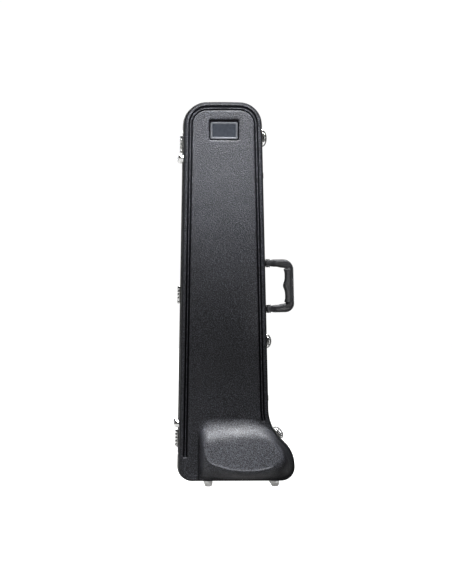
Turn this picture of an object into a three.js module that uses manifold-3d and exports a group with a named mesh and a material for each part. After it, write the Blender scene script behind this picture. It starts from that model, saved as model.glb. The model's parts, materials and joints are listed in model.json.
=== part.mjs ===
// Trombone case: two moulded halves that close on a valance, with hinges on the spine edge and
// draw latches on the opening edge. Millimetres, +Z up, the case stands on its bottom feet.
// The lid is the front half (-Y), the base is the rear half (+Y), the parting plane is y = 0.
import * as THREE from 'three'
import { mergeVertices } from 'three/addons/utils/BufferGeometryUtils.js'
import Module from 'manifold-3d'

const wasm = await Module()
wasm.setup()

// Body outline at the parting plane
const bodyHeight = 938
const bottomWidth = 292
const topWidth = 193.7
const spineLean = 15.6
const crownRise = 2.5
const crownReach = 45
const neckWidth = 227.6
const neckHeight = 134.7
const flareHeight = 70.3
const bottomSpineRadius = 35
const topRadius = 60
const neckReach = 42
const flareReach = 33
const bottomFlareRadius = 36.5
const floorClearance = 12

// Shell section, measured from the outline inward and from the parting plane outward
const shellWall = 3.2
const faceDepth = 62
const wallDraft = 1.1
const shoulderRadius = 9
const grooveDepth = 3
const grooveWidth = 3.8
const grooveFloor = 1
const grooveInset = 14.5
const grooveSpacing = 6.6
const ridgeDrop = 0.4
const spineGrooveEnd = 62
const openGrooveEnd = 151
const grooveEndRun = 3

// Bell boot, the bulge that holds the bell flare
const bellFaceGap = 12
const bootRoot = 50
const bootInset = 3.2
const bootSpineGap = 53.3
const bootHeight = 158
const bootTopRun = 133
const bootCorner = 22
const plateauSpineGap = 66
const plateauFlareGap = 35
const plateauLow = 54
const plateauHigh = 90
const plateauMiddle = 108
const plateauPeak = 118
const plateauFall = 20
const plateauNose = 47
const plateauChord = 18
const plateauCorner = 14
const plateauBend = 20
const plateauPeakGap = 33
const plateauPeakRun = 69
const plateauFlareHeight = 72
const chordReachShare = 0.33

// Valance, the two closing frames with a tongue on the base and a groove in the lid
const clearance = 0.3
const valanceHeight = 12
const valanceWidth = 7
const valanceFlange = 1.6
const valanceWeb = 4.6
const tongueWidth = 1.4
const tongueHeight = 1.9
const tonguePlay = 0.5

// Badge recess on the lid
const badgeWidth = 73.5
const badgeHeight = 51.7
const badgeRadius = 6
const badgeDepth = 5
const badgeBelowTop = 72.8
const badgeOffset = 1.95
const badgePlateWidth = 66.5
const badgePlateHeight = 43.5
const badgePlateThickness = 2.2
const badgePlateRadius = 3
const badgeFieldRadius = 1.5
const badgeFloorDepth = 0.9
const badgeBorder = 3.2

// Hinges
const hingeLength = 42
const hingeAboveFoot = 104.8
const hingeBelowTop = 104.5
const hingeMiddleDrop = 8.75
const hingeNames = ['lower', 'middle', 'upper']
const knuckleRadius = 3.2
const knuckleCount = 5
const knuckleGap = 0.4
const hingePinRadius = 1.3
const hingeLeafWidth = 11.5
const hingeLeafThickness = 1.2

// Draw latches
const latchBellHeight = 113.5
const latchBelowHandle = 137.5
const latchBelowTop = 86.6
const latchLengths = [35, 35, 42]
const latchNames = ['bell', 'middle', 'top']
const latchRise = 13.3
const latchWall = 1.5
const latchPlateDepth = 35
const latchPlateMargin = 3
const latchPlateStart = 2
const plateThickness = 1.2
const leverStart = 19.5
const leverEnd = 37
const leverLip = 3
const leverPivotRise = 6
const leverPivotDepth = 9
const latchPinRadius = 1.3
const earThickness = 1.2
const earOffset = 3
const earWidth = 4.6
const ribThickness = 1.6
const ribOffset = 5
const bailPivotRise = 4.6
const bailPivotDepth = 17
const bailRadius = 1.1
const bailHalfWidth = 10
const bailNose = 5.5
const keeperDepth = 9.5
const keeperLipRise = 4
const keeperLipWidth = 2
const keeperHalfLength = 12

// Handle
const handleHeight = 482.3
const handleLength = 133
const handleReach = 72.8
const handleGripWidth = 24
const handleArm = 19
const handleThickness = 22
const handleCorner = 21
const handleArmStart = 16
const handleDepth = 26
const handlePalmRise = 3
const handleBevel = 3
const sleeveLength = 84
const sleeveWall = 2
const sleeveRadius = 7.3
const handlePivotSpan = 114
const handlePivotRise = 7.6
const handleLoopLength = 13.6
const handleLoopRadius = 5.6
const handlePinRadius = 2.4
const handlePlateLength = 44
const handlePlateWidth = 24
const handlePlateThickness = 2.5
const handleEarThickness = 2.4
const handleEarRadius = 4.6

// Feet, studs and strap staples
const footRadius = 10.5
const footTipRadius = 4
const footDomeShares = [
  [0.9, 0.55],
  [0.68, 0.85],
]
const footRim = 2.4
const footDepth = 35
const footSpineGap = 76.8
const footFlareGap = 50.7
const footNames = ['spine', 'flare']
const spineFootRadius = 9
const spineFootRise = 10.5
const spineFootDepth = 32
const spineFootHingeGaps = [37.8, 36.3]
const studRadius = 3
const studRise = 2.6
const studDepth = 20
const studHingeGaps = [34.4, 27.9]
const stapleLength = 36
const stapleWidth = 12
const stapleRise = 5
const stapleBand = 1.6
const stapleDepth = 24
const stapleLatchGaps = [89.2, 93]
const pairNames = ['lower', 'upper']

// Linings and what the case holds
const liningInset = 7.6
const liningSlack = 0.5
const liningStep = 13
const bellSpineGap = 51
const bellFlareGap = 21
const bellHeight = 36
const bellThroat = 30
const bellLength = 420
const slotWidth = 36
const slotDepth = 40
const slotInnerRadius = 12
const slotSpineGap = 36
const tuningBelowTray = 49
const tuningBottom = 300
const trayWidth = 150
const trayHeight = 165
const trayDepth = 44
const trayRadius = 12
const trayFromSpine = 34
const trayBelowTop = 34
const trayWall = 2.5
const trayDivider = 95
const cradleLength = 100
const cradleWidth = 38
const cradleDepth = 32
const cradleWall = 3
const cradleBelowSlot = 70
const slideWidth = 104
const slideFloorGap = 123
const slideFromSpine = 36
const slideBelowTop = 30
const slideIsland = 62
const slideIslandMargin = 70
const slideBowRadius = 34
const slideIslandRadius = 15
const slideChannelDepth = 57
const buttonSlideGaps = [297, 148]
const buttonLength = 92
const buttonWidth = 16
const buttonThickness = 5
const buttonRest = 28
const postRadius = 5
const postStem = 2.4
const postCap = 1.6

// How finely curves are drawn
const arcSteps = 5
const bendSteps = 4
const cornerSteps = 2
const liningSteps = 3
const plateSteps = 2
const archSteps = 8
const seatingTimes = 4
const bellSides = 16
const roundSides = 12
const wireSides = 8
const overrun = 4
const weld = 1e-4

// Outline of the body: corners in order up the spine edge, over the top and down the opening edge.
// reach is the length that a corner's arc takes from each of its two sides.
const spineX = 0
const bodyBottom = floorClearance
const bodyTop = bodyBottom + bodyHeight
const topSpineX = spineX + spineLean
const openTopX = topSpineX + topWidth
const neckX = spineX + neckWidth
const flareX = spineX + bottomWidth
const shoulderZ = bodyTop - crownRise
const bellRadius = (bottomWidth - bellSpineGap - bellFlareGap) / 2
const bootDepth = bellRadius + bellFaceGap
const plateauWidth = bottomWidth - plateauSpineGap - plateauFlareGap

// Heights of the hardware over the bottom of the body
const hingeUpper = bodyHeight - hingeBelowTop
const hingeMiddle = (hingeAboveFoot + hingeUpper) / 2 - hingeMiddleDrop
const hingeHeights = [hingeAboveFoot, hingeMiddle, hingeUpper]
const latchTop = bodyHeight - latchBelowTop
const latchHeights = [latchBellHeight, handleHeight - latchBelowHandle, latchTop]
const spineFootHeights = [
  hingeAboveFoot + spineFootHingeGaps[0],
  hingeUpper - spineFootHingeGaps[1],
]
const studHeights = [hingeAboveFoot - studHingeGaps[0], hingeUpper + studHingeGaps[1]]
const stapleHeights = [latchBellHeight + stapleLatchGaps[0], latchTop - stapleLatchGaps[1]]
const footPlaces = [footSpineGap, bottomWidth - footFlareGap]

function spineEdgeX(z) {
  return spineX + (spineLean * (z - bodyBottom)) / bodyHeight
}

function openEdgeX(z) {
  const fall = (shoulderZ - z) / (shoulderZ - bodyBottom - neckHeight)
  return openTopX + (neckX - openTopX) * fall
}

function corner(x, z, reach, steps, groove = [0, 0]) {
  return { x, z, reach, steps, groove }
}

function bodyCorners(steps = arcSteps, bends = bendSteps) {
  const spineEnd = bodyBottom + spineGrooveEnd
  const openEnd = bodyBottom + openGrooveEnd
  return [
    corner(spineX, bodyBottom, bottomSpineRadius, steps),
    corner(spineEdgeX(spineEnd), spineEnd, grooveEndRun, 1, [0, 1]),
    corner(topSpineX, shoulderZ, topRadius, steps, [1, 1]),
    corner((topSpineX + openTopX) / 2, bodyTop, crownReach, cornerSteps, [1, 1]),
    corner(openTopX, shoulderZ, topRadius, steps, [1, 1]),
    corner(openEdgeX(openEnd + neckReach), openEnd + neckReach, grooveEndRun, 1, [1, 0]),
    corner(neckX, bodyBottom + neckHeight, neckReach, bends),
    corner(flareX, bodyBottom + flareHeight, flareReach, bends),
    corner(flareX, bodyBottom, bottomFlareRadius, steps),
  ]
}

// Moves every side of an outline inward, and keeps its arcs concentric.
function insetCorners(corners, inset) {
  const count = corners.length
  return corners.map((here, i) => {
    const before = corners[(i + count - 1) % count]
    const after = corners[(i + 1) % count]
    const into = new THREE.Vector2(here.x - before.x, here.z - before.z).normalize()
    const out = new THREE.Vector2(after.x - here.x, after.z - here.z).normalize()
    const turn = Math.atan2(into.x * out.y - into.y * out.x, into.dot(out))
    const run = Math.tan(turn / 2)
    const x = here.x + inset * (into.y + into.x * run)
    const z = here.z + inset * (-into.x + into.y * run)
    return { ...here, x, z, reach: Math.max(here.reach + inset * run, clearance) }
  })
}

// Points of a cornered outline: each corner is an exact arc, drawn as a weighted curve.
function traceCorners(corners) {
  const count = corners.length
  const sides = corners.map((here, i) => {
    const after = corners[(i + 1) % count]
    return Math.hypot(after.x - here.x, after.z - here.z)
  })
  const share = (i) => {
    const next = (i + 1) % count
    const taken = corners[i].reach + corners[next].reach
    return Math.min(1, sides[i] / taken)
  }
  const points = []
  corners.forEach((here, i) => {
    const before = corners[(i + count - 1) % count]
    const after = corners[(i + 1) % count]
    const into = new THREE.Vector2(here.x - before.x, here.z - before.z).normalize()
    const out = new THREE.Vector2(after.x - here.x, after.z - here.z).normalize()
    const reach = here.reach * Math.min(share(i), share((i + count - 1) % count))
    const weight = Math.sqrt((1 + into.dot(out)) / 2)
    for (let step = 0; step <= here.steps; step += 1) {
      const t = step / here.steps
      const first = (1 - t) * (1 - t)
      const middle = 2 * t * (1 - t) * weight
      const last = t * t
      const sum = first + middle + last
      points.push({
        x: here.x + (last * reach * out.x - first * reach * into.x) / sum,
        z: here.z + (last * reach * out.y - first * reach * into.y) / sum,
        groove: here.groove[0] + (here.groove[1] - here.groove[0]) * t,
      })
    }
  })
  return points
}

function ringAt(points, depth, side) {
  return points.map((p) => new THREE.Vector3(p.x, side * depth, p.z))
}

function facesOutward(geometry) {
  const position = geometry.attributes.position
  const index = geometry.index.array
  const a = new THREE.Vector3()
  const b = new THREE.Vector3()
  const c = new THREE.Vector3()
  let volume = 0
  for (let i = 0; i < index.length; i += 3) {
    a.fromBufferAttribute(position, index[i])
    b.fromBufferAttribute(position, index[i + 1])
    c.fromBufferAttribute(position, index[i + 2])
    volume += a.dot(b.cross(c))
  }
  if (volume < 0) {
    for (let i = 0; i < index.length; i += 3) {
      const kept = index[i]
      index[i] = index[i + 1]
      index[i + 1] = kept
    }
  }
  return geometry
}

// Skins a row of rings with equal counts. Open ends are capped, a closed row is a frame.
function skin(rings, closed = false) {
  const count = rings[0].length
  const positions = rings.flat().flatMap((p) => [p.x, p.y, p.z])
  const index = []
  const bands = closed ? rings.length : rings.length - 1
  for (let r = 0; r < bands; r += 1) {
    const here = r * count
    const next = ((r + 1) % rings.length) * count
    for (let i = 0; i < count; i += 1) {
      const j = (i + 1) % count
      index.push(here + i, here + j, next + j, here + i, next + j, next + i)
    }
  }
  if (!closed) {
    const cap = (ring, offset, flip) => {
      const flat = ring.map((p) => new THREE.Vector2(p.x, p.z))
      THREE.ShapeUtils.triangulateShape(flat, []).forEach(([a, b, c]) => {
        const face = flip ? [a, c, b] : [a, b, c]
        index.push(...face.map((k) => k + offset))
      })
    }
    const area = THREE.ShapeUtils.area(rings[0].map((p) => new THREE.Vector2(p.x, p.z)))
    cap(rings[0], 0, area > 0)
    cap(rings[rings.length - 1], (rings.length - 1) * count, area < 0)
  }
  const geometry = new THREE.BufferGeometry()
  geometry.setAttribute('position', new THREE.Float32BufferAttribute(positions, 3))
  geometry.setIndex(index)
  return facesOutward(geometry)
}

function solid(geometry) {
  const bare = geometry.clone()
  bare.deleteAttribute('normal')
  bare.deleteAttribute('uv')
  const merged = mergeVertices(bare, weld)
  return new wasm.Manifold(
    new wasm.Mesh({
      numProp: 3,
      vertProperties: new Float32Array(merged.attributes.position.array),
      triVerts: new Uint32Array(merged.index.array),
    }),
  )
}

function geometryOf(manifold) {
  const mesh = manifold.getMesh()
  const geometry = new THREE.BufferGeometry()
  geometry.setAttribute('position', new THREE.BufferAttribute(mesh.vertProperties, 3))
  geometry.setIndex(new THREE.BufferAttribute(mesh.triVerts, 1))
  return geometry
}

function joined(...parts) {
  return parts.reduce((sum, part) => sum.add(part))
}

// Box from its lowest to its highest corner
function box(low, high) {
  const size = high.map((value, i) => value - low[i])
  const geometry = new THREE.BoxGeometry(...size)
  geometry.translate(...low.map((value, i) => value + size[i] / 2))
  return solid(geometry)
}

// Round bar between two points
function bar(from, to, radius, sides = roundSides) {
  const start = new THREE.Vector3(...from)
  const end = new THREE.Vector3(...to)
  const length = start.distanceTo(end)
  const geometry = new THREE.CylinderGeometry(radius, radius, length, sides)
  const direction = end.clone().sub(start).normalize()
  const turn = new THREE.Quaternion().setFromUnitVectors(new THREE.Vector3(0, 1, 0), direction)
  geometry.applyQuaternion(turn)
  geometry.translate(...start.add(end).multiplyScalar(1 / 2).toArray())
  return solid(geometry)
}

// Plate whose outline lies in x and z and whose thickness runs along y
function plateXZ(shape, from, to) {
  const geometry = new THREE.ExtrudeGeometry(shape, {
    depth: to - from,
    bevelEnabled: false,
    curveSegments: plateSteps,
  })
  geometry.rotateX(Math.PI / 2)
  geometry.translate(0, to, 0)
  return solid(geometry)
}

// Plate whose outline lies in x and y and whose thickness runs along z
function plateXY(shape, from, to) {
  const geometry = new THREE.ExtrudeGeometry(shape, {
    depth: to - from,
    bevelEnabled: false,
    curveSegments: plateSteps,
  })
  geometry.translate(0, 0, from)
  return solid(geometry)
}

function roundedShape(left, right, low, high, radius) {
  const shape = new THREE.Shape()
  const r = Math.min(radius, (right - left) / 2 - clearance, (high - low) / 2 - clearance)
  shape.moveTo(left + r, low)
  shape.lineTo(right - r, low)
  shape.absarc(right - r, low + r, r, -Math.PI / 2, 0, false)
  shape.lineTo(right, high - r)
  shape.absarc(right - r, high - r, r, 0, Math.PI / 2, false)
  shape.lineTo(left + r, high)
  shape.absarc(left + r, high - r, r, Math.PI / 2, Math.PI, false)
  shape.lineTo(left, low + r)
  shape.absarc(left + r, low + r, r, Math.PI, (Math.PI * 3) / 2, false)
  return shape
}

// Shell wall: how far inside the outline its outer face lies at a given depth
const shellEdgeInset = valanceFlange + clearance
const shellEdgeDepth = valanceWeb + clearance
const wallTop = faceDepth - shoulderRadius

function wallInset(depth) {
  const share = Math.min(1, Math.max(0, (depth - shellEdgeDepth) / (wallTop - shellEdgeDepth)))
  return shellEdgeInset + wallDraft * share
}

// Face profile from the rim inward: inset, depth, and how much of the groove shows there
function faceProfile() {
  const start = wallInset(wallTop)
  const turn = start + shoulderRadius
  const low = (Math.PI * 2) / 3
  const rows = [
    [shellEdgeInset, shellEdgeDepth, 0],
    [start, wallTop, 0],
  ]
  for (const angle of [Math.PI - Math.PI / 6, low, Math.PI / 2]) {
    const inset = turn + shoulderRadius * Math.cos(angle)
    rows.push([inset, wallTop + shoulderRadius * Math.sin(angle), 0])
  }
  for (const centre of [grooveInset, grooveInset + grooveSpacing]) {
    const inner = centre > grooveInset
    rows.push([centre - grooveWidth / 2, faceDepth, inner ? ridgeDrop : 0])
    rows.push([centre - grooveFloor / 2, faceDepth, grooveDepth])
    rows.push([centre + grooveFloor / 2, faceDepth, grooveDepth])
    rows.push([centre + grooveWidth / 2, faceDepth, inner ? 0 : ridgeDrop])
  }
  return rows
}

function bodyOuter(side) {
  const corners = bodyCorners()
  const rings = faceProfile().map(([inset, depth, drop]) =>
    traceCorners(insetCorners(corners, inset)).map(
      (p) => new THREE.Vector3(p.x, side * (depth - drop * p.groove), p.z),
    ),
  )
  return solid(skin(rings))
}

// Hollow of a half, also used with more inset and less depth for the lining that fills it
function bodyInner(side, start, inset, depthLoss, steps, bends) {
  const corners = bodyCorners(steps, bends)
  const under = faceDepth - grooveDepth - shellWall - depthLoss
  const floor = faceDepth - shellWall - depthLoss
  const rows = [
    [inset, start],
    [Math.max(inset, wallInset(wallTop) + shellWall), wallTop - shellWall - depthLoss],
    [liningStep, under],
    [grooveInset + grooveSpacing + grooveWidth, under],
    [grooveInset + grooveSpacing + grooveWidth + shellWall, floor],
  ]
  const rings = rows.map(([rowInset, depth]) =>
    ringAt(traceCorners(insetCorners(corners, rowInset)), depth, side),
  )
  return solid(skin(rings))
}

// Boot outlines at its root and on its plateau, corner by corner
function bootCorners(shrink, steps, bends) {
  const [neck, flare, low] = insetCorners(bodyCorners(), bootInset).slice(-3)
  const left = spineX + bootSpineGap
  const top = bodyBottom + bootHeight
  const chordX = left + plateauWidth / 2
  return insetCorners(
    [
      corner(left, low.z, bootInset, cornerSteps),
      corner(left, top, bootCorner, bends),
      corner(left + bootTopRun, top, plateauCorner, cornerSteps),
      corner(neck.x, neck.z, plateauCorner, cornerSteps),
      corner(flare.x, flare.z, flareReach, bends),
      corner(low.x, low.z, bottomFlareRadius - bootInset, steps),
      corner(chordX, low.z, plateauWidth * chordReachShare, bends),
    ],
    shrink,
  )
}

function plateauCorners(shrink, steps, bends) {
  const left = spineX + plateauSpineGap
  const right = left + plateauWidth
  const peakX = right - plateauPeakGap
  const low = bodyBottom + plateauLow
  const high = bodyBottom + plateauHigh
  const chordZ = bodyBottom + plateauChord
  return insetCorners(
    [
      corner(left, low, plateauCorner, cornerSteps),
      corner(left, high, plateauBend, bends),
      corner(peakX - plateauPeakRun, bodyBottom + plateauMiddle, plateauBend, cornerSteps),
      corner(peakX, bodyBottom + plateauPeak, plateauBend, cornerSteps),
      corner(right, bodyBottom + plateauFlareHeight, plateauCorner, bends),
      corner(right, bodyBottom + plateauNose, plateauCorner / 2, steps),
      corner(left + plateauWidth / 2, chordZ, plateauWidth * chordReachShare, bends),
    ],
    shrink,
  )
}

// The plateau leans back from the bell's rim towards its neck
function plateauDepth(z) {
  const low = bodyBottom + plateauChord
  return bootDepth - (plateauFall * (z - low)) / (plateauPeak - plateauChord)
}

// How the boot rises: share of the way in from root to plateau, share of the depth
const bootRiseShares = [
  [0, 0],
  [0.1, 0.09],
  [0.33, 0.38],
  [0.58, 0.71],
  [0.78, 0.9],
  [0.92, 0.98],
  [1, 1],
]

function bootSolid(side, shrink, depthLoss, start, steps = arcSteps, bends = bendSteps) {
  const root = traceCorners(bootCorners(shrink, steps, bends))
  const plateau = traceCorners(plateauCorners(shrink, steps, bends))
  const rings = [ringAt(root, start, side)]
  bootRiseShares.forEach(([inShare, depthShare]) => {
    rings.push(
      root.map((p, i) => {
        const x = p.x + (plateau[i].x - p.x) * inShare
        const z = p.z + (plateau[i].z - p.z) * inShare
        const deep = plateauDepth(plateau[i].z) - depthLoss
        const depth = bootRoot + (deep - bootRoot) * depthShare
        return new THREE.Vector3(x, side * depth, z)
      }),
    )
  })
  return solid(skin(rings))
}

const badgeX = (topSpineX + openTopX) / 2 + badgeOffset
const badgeZ = bodyTop - badgeBelowTop

function badgeShape(width, height, radius) {
  return roundedShape(
    badgeX - width / 2,
    badgeX + width / 2,
    badgeZ - height / 2,
    badgeZ + height / 2,
    radius,
  )
}

function badgePad(slack) {
  const grow = 2 * (shellWall + slack)
  const shape = badgeShape(badgeWidth + grow, badgeHeight + grow, badgeRadius + shellWall + slack)
  return plateXZ(shape, -faceDepth, -(faceDepth - badgeDepth - shellWall - slack))
}

// Badge plate: a raised border round a lower field
function badgePlate() {
  const under = -(faceDepth - badgeDepth) - clearance
  const top = under - badgePlateThickness
  const fieldWidth = badgePlateWidth - badgeBorder * 2
  const fieldHeight = badgePlateHeight - badgeBorder * 2
  const outline = badgeShape(badgePlateWidth, badgePlateHeight, badgePlateRadius)
  const field = badgeShape(fieldWidth, fieldHeight, badgeFieldRadius)
  const dish = plateXZ(field, top - overrun, top + badgeFloorDepth)
  return plateXZ(outline, top, under).subtract(dish)
}

function shellHalf(side) {
  const outer = bodyOuter(side).add(bootSolid(side, 0, 0, bootRoot - shellWall))
  const start = shellEdgeDepth - overrun
  const innerInset = shellEdgeInset + shellWall
  let hollow = bodyInner(side, start, innerInset, 0, arcSteps, bendSteps)
  hollow = hollow.add(bootSolid(side, shellWall, shellWall, bootRoot - overrun))
  if (side > 0) return outer.subtract(hollow)
  hollow = hollow.subtract(badgePad(0))
  const recess = plateXZ(
    badgeShape(badgeWidth, badgeHeight, badgeRadius),
    -(faceDepth + overrun),
    -(faceDepth - badgeDepth),
  )
  return outer.subtract(hollow).subtract(recess)
}

// Valance: a channel that takes the shell's edge, with a tongue or a groove on its closing face
function valance(side) {
  const start = clearance / 2
  const web = side > 0 ? start + valanceWeb / 2 : start + valanceWeb - clearance / 2
  const top = valanceHeight
  const inner = valanceWidth - valanceFlange
  const middle = valanceWidth / 2
  const half = side > 0 ? tongueWidth / 2 : tongueWidth / 2 + tonguePlay
  const tip = side > 0 ? -tongueHeight : tongueHeight + tonguePlay
  const rows = [
    [0, start],
    [0, top],
    [valanceFlange, top],
    [valanceFlange, web],
    [inner, web],
    [inner, top],
    [valanceWidth, top],
    [valanceWidth, start],
    [middle + half, start],
    [middle + half, tip],
    [middle - half, tip],
    [middle - half, start],
  ]
  const corners = bodyCorners()
  const rings = rows.map(([inset, depth]) =>
    ringAt(traceCorners(insetCorners(corners, inset)), depth, side),
  )
  return solid(skin(rings, true))
}

// Cavities in the linings
const bellX = spineX + bellSpineGap + bellRadius
const bellZ = bodyBottom + bellHeight
const bellShares = [
  [1, 0],
  [1, 0.035],
  [0.62, 0.12],
  [0.4, 0.24],
  [0.27, 0.5],
  [0.17, 1],
]

function bellCavity() {
  const profile = [new THREE.Vector2(0, 0)]
  bellShares.forEach(([radiusShare, lengthShare]) => {
    profile.push(new THREE.Vector2(bellRadius * radiusShare, bellLength * lengthShare))
  })
  profile.push(new THREE.Vector2(0, bellLength))
  const geometry = new THREE.LatheGeometry(profile, bellSides)
  geometry.rotateX(Math.PI / 2)
  geometry.translate(bellX, 0, bellZ)
  return solid(geometry)
}

function liningBlank(side) {
  const body = bodyInner(side, clearance + liningSlack, liningInset, liningSlack, liningSteps, bendSteps)
  const loss = shellWall + liningSlack
  const start = bootRoot - overrun
  return body.add(bootSolid(side, loss + liningSlack, loss, start, liningSteps, cornerSteps))
}

// Tuning slide and accessory spaces of the base
const slotLeft = spineX + slotSpineGap
const slotRight = bellX + bellThroat / 2
const islandLeft = slotLeft + slotWidth
const islandRight = slotRight - bellThroat
const trayLeft = spineEdgeX(bodyTop) + trayFromSpine - spineLean / 2
const trayTop = bodyTop - trayBelowTop
const trayLow = trayTop - trayHeight
const tuningTop = trayLow - tuningBelowTray
const cradleX = (islandLeft + islandRight) / 2
const cradleLow = tuningTop - cradleBelowSlot - cradleLength

function tuningCavity() {
  const low = bodyBottom + tuningBottom
  const outline = roundedShape(slotLeft, slotRight, low, tuningTop, slotWidth)
  const hole = roundedShape(
    islandLeft,
    islandRight,
    low + slotWidth,
    tuningTop - slotWidth,
    slotInnerRadius,
  )
  outline.holes.push(hole)
  return plateXZ(outline, -overrun, slotDepth)
}

function trayShape(grow) {
  return roundedShape(
    trayLeft - grow,
    trayLeft + trayWidth + grow,
    trayLow - grow,
    trayTop + grow,
    trayRadius + grow,
  )
}

function cradleShape(grow) {
  return roundedShape(
    cradleX - cradleWidth / 2 - grow,
    cradleX + cradleWidth / 2 + grow,
    cradleLow - grow,
    cradleLow + cradleLength + grow,
    cradleWall + grow,
  )
}

const liningFace = clearance + liningSlack

function baseLining() {
  return liningBlank(1)
    .subtract(bellCavity())
    .subtract(tuningCavity())
    .subtract(plateXZ(trayShape(clearance), -overrun, trayDepth + liningFace + clearance))
    .subtract(plateXZ(cradleShape(clearance), -overrun, cradleDepth + liningFace + clearance))
}

function accessoryTray() {
  const floor = trayDepth + liningFace
  const outer = plateXZ(trayShape(0), liningFace, floor)
  const inner = plateXZ(trayShape(-trayWall), liningFace - overrun, floor - trayWall)
  const rail = box(
    [trayLeft + trayWall / 2, liningFace, trayLow + trayDivider],
    [trayLeft + trayWidth - trayWall / 2, floor - trayWall / 2, trayLow + trayDivider + trayWall],
  )
  return outer.subtract(inner).add(rail)
}

function mouthpieceCradle() {
  const floor = cradleDepth + liningFace
  const outer = plateXZ(cradleShape(0), liningFace, floor)
  const inner = plateXZ(cradleShape(-cradleWall), liningFace - overrun, floor - cradleWall)
  return outer.subtract(inner)
}

// Hand slide channel of the lid, with the turn buttons on its island
const slideLeft = spineX + spineLean + slideFromSpine
const slideTop = bodyTop - slideBelowTop
const slideLow = bodyBottom + slideFloorGap
const slideMiddle = slideLeft + slideWidth / 2
const buttonHeights = [slideLow + buttonSlideGaps[0], slideTop - buttonSlideGaps[1]]

function slideCavity() {
  const outline = roundedShape(
    slideLeft,
    slideLeft + slideWidth,
    slideLow,
    slideTop,
    slideBowRadius,
  )
  outline.holes.push(
    roundedShape(
      slideMiddle - slideIsland / 2,
      slideMiddle + slideIsland / 2,
      slideLow + slideIslandMargin,
      slideTop - slideIslandMargin,
      slideIslandRadius,
    ),
  )
  return plateXZ(outline, -slideChannelDepth + shellWall, overrun)
}

// The island stands lower than the lining's face, so that the buttons turn above the slide's tubes
function islandTrim() {
  const shape = roundedShape(
    slideLeft,
    slideLeft + slideWidth,
    slideLow,
    slideTop,
    slideBowRadius,
  )
  return plateXZ(shape, -buttonRest, overrun)
}

function lidLining() {
  let lining = liningBlank(-1)
    .subtract(bellCavity())
    .subtract(slideCavity())
    .subtract(islandTrim())
    .subtract(badgePad(liningSlack))
  buttonHeights.forEach((height) => {
    const place = [slideMiddle, 0, height]
    const deep = [slideMiddle, -buttonRest - postRadius * 2 - clearance, height]
    lining = lining.subtract(bar(place, deep, postRadius + clearance))
  })
  return lining
}

// Hinge, in the frame of its edge: x outward, y to the base, z along the edge
const hingeAxisRise = clearance + knuckleRadius
const knuckleLength = (hingeLength - knuckleGap * (knuckleCount - 1)) / knuckleCount

function hingeLeaf(side) {
  const half = hingeLength / 2
  const top = clearance + hingeLeafThickness
  const near = knuckleRadius
  const span = [side * near, side * hingeLeafWidth].sort((a, b) => a - b)
  let leaf = box([clearance, span[0], -half], [top, span[1], half])
  const axis = (z) => [hingeAxisRise, 0, z]
  const bore = bar(axis(-hingeLength), axis(hingeLength), hingePinRadius + clearance, wireSides)
  for (let i = side > 0 ? 0 : 1; i < knuckleCount; i += 2) {
    const low = -half + i * (knuckleLength + knuckleGap)
    const high = low + knuckleLength
    const reach = [0, side * (near + hingeLeafThickness)].sort((a, b) => a - b)
    leaf = leaf.add(box([clearance, reach[0], low], [top, reach[1], high]))
    leaf = leaf.add(bar(axis(low), axis(high), knuckleRadius, wireSides))
  }
  return leaf.subtract(bore)
}

function hingePin() {
  const half = hingeLength / 2
  return bar([hingeAxisRise, 0, -half], [hingeAxisRise, 0, half], hingePinRadius, wireSides)
}

// Latch, in the frame of its edge
function halfEllipse(half, rise, steps) {
  const points = []
  for (let i = 0; i <= steps; i += 1) {
    const angle = (Math.PI * i) / steps
    points.push(new THREE.Vector2(rise * Math.sin(angle), half * Math.cos(angle)))
  }
  return points
}

function latchPlate(length) {
  const half = length / 2 - latchPlateMargin
  const top = clearance + plateThickness
  const padLow = -shellEdgeInset + clearance
  const padStart = valanceHeight + clearance
  let plate = box([clearance, latchPlateStart, -half], [top, latchPlateDepth, half])
  plate = plate.add(box([padLow, padStart, -half], [top, latchPlateDepth, half]))
  for (const sign of [-1, 1]) {
    const w = [sign * earOffset, sign * (earOffset + earThickness)].sort((a, b) => a - b)
    const shape = new THREE.Shape()
    shape.moveTo(top - plateThickness / 2, leverPivotDepth - earWidth / 2)
    shape.lineTo(leverPivotRise, leverPivotDepth - earWidth / 2)
    shape.absarc(leverPivotRise, leverPivotDepth, earWidth / 2, -Math.PI / 2, Math.PI / 2, false)
    shape.lineTo(top - plateThickness / 2, leverPivotDepth + earWidth / 2)
    plate = plate.add(plateXY(shape, w[0], w[1]))
  }
  return plate.subtract(latchPinBar(latchPinRadius + clearance, overrun))
}

function latchPinBar(radius, extra) {
  const half = ribOffset + ribThickness + extra
  const axis = (z) => [leverPivotRise, leverPivotDepth, z]
  return bar(axis(-half), axis(half), radius, wireSides)
}

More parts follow.
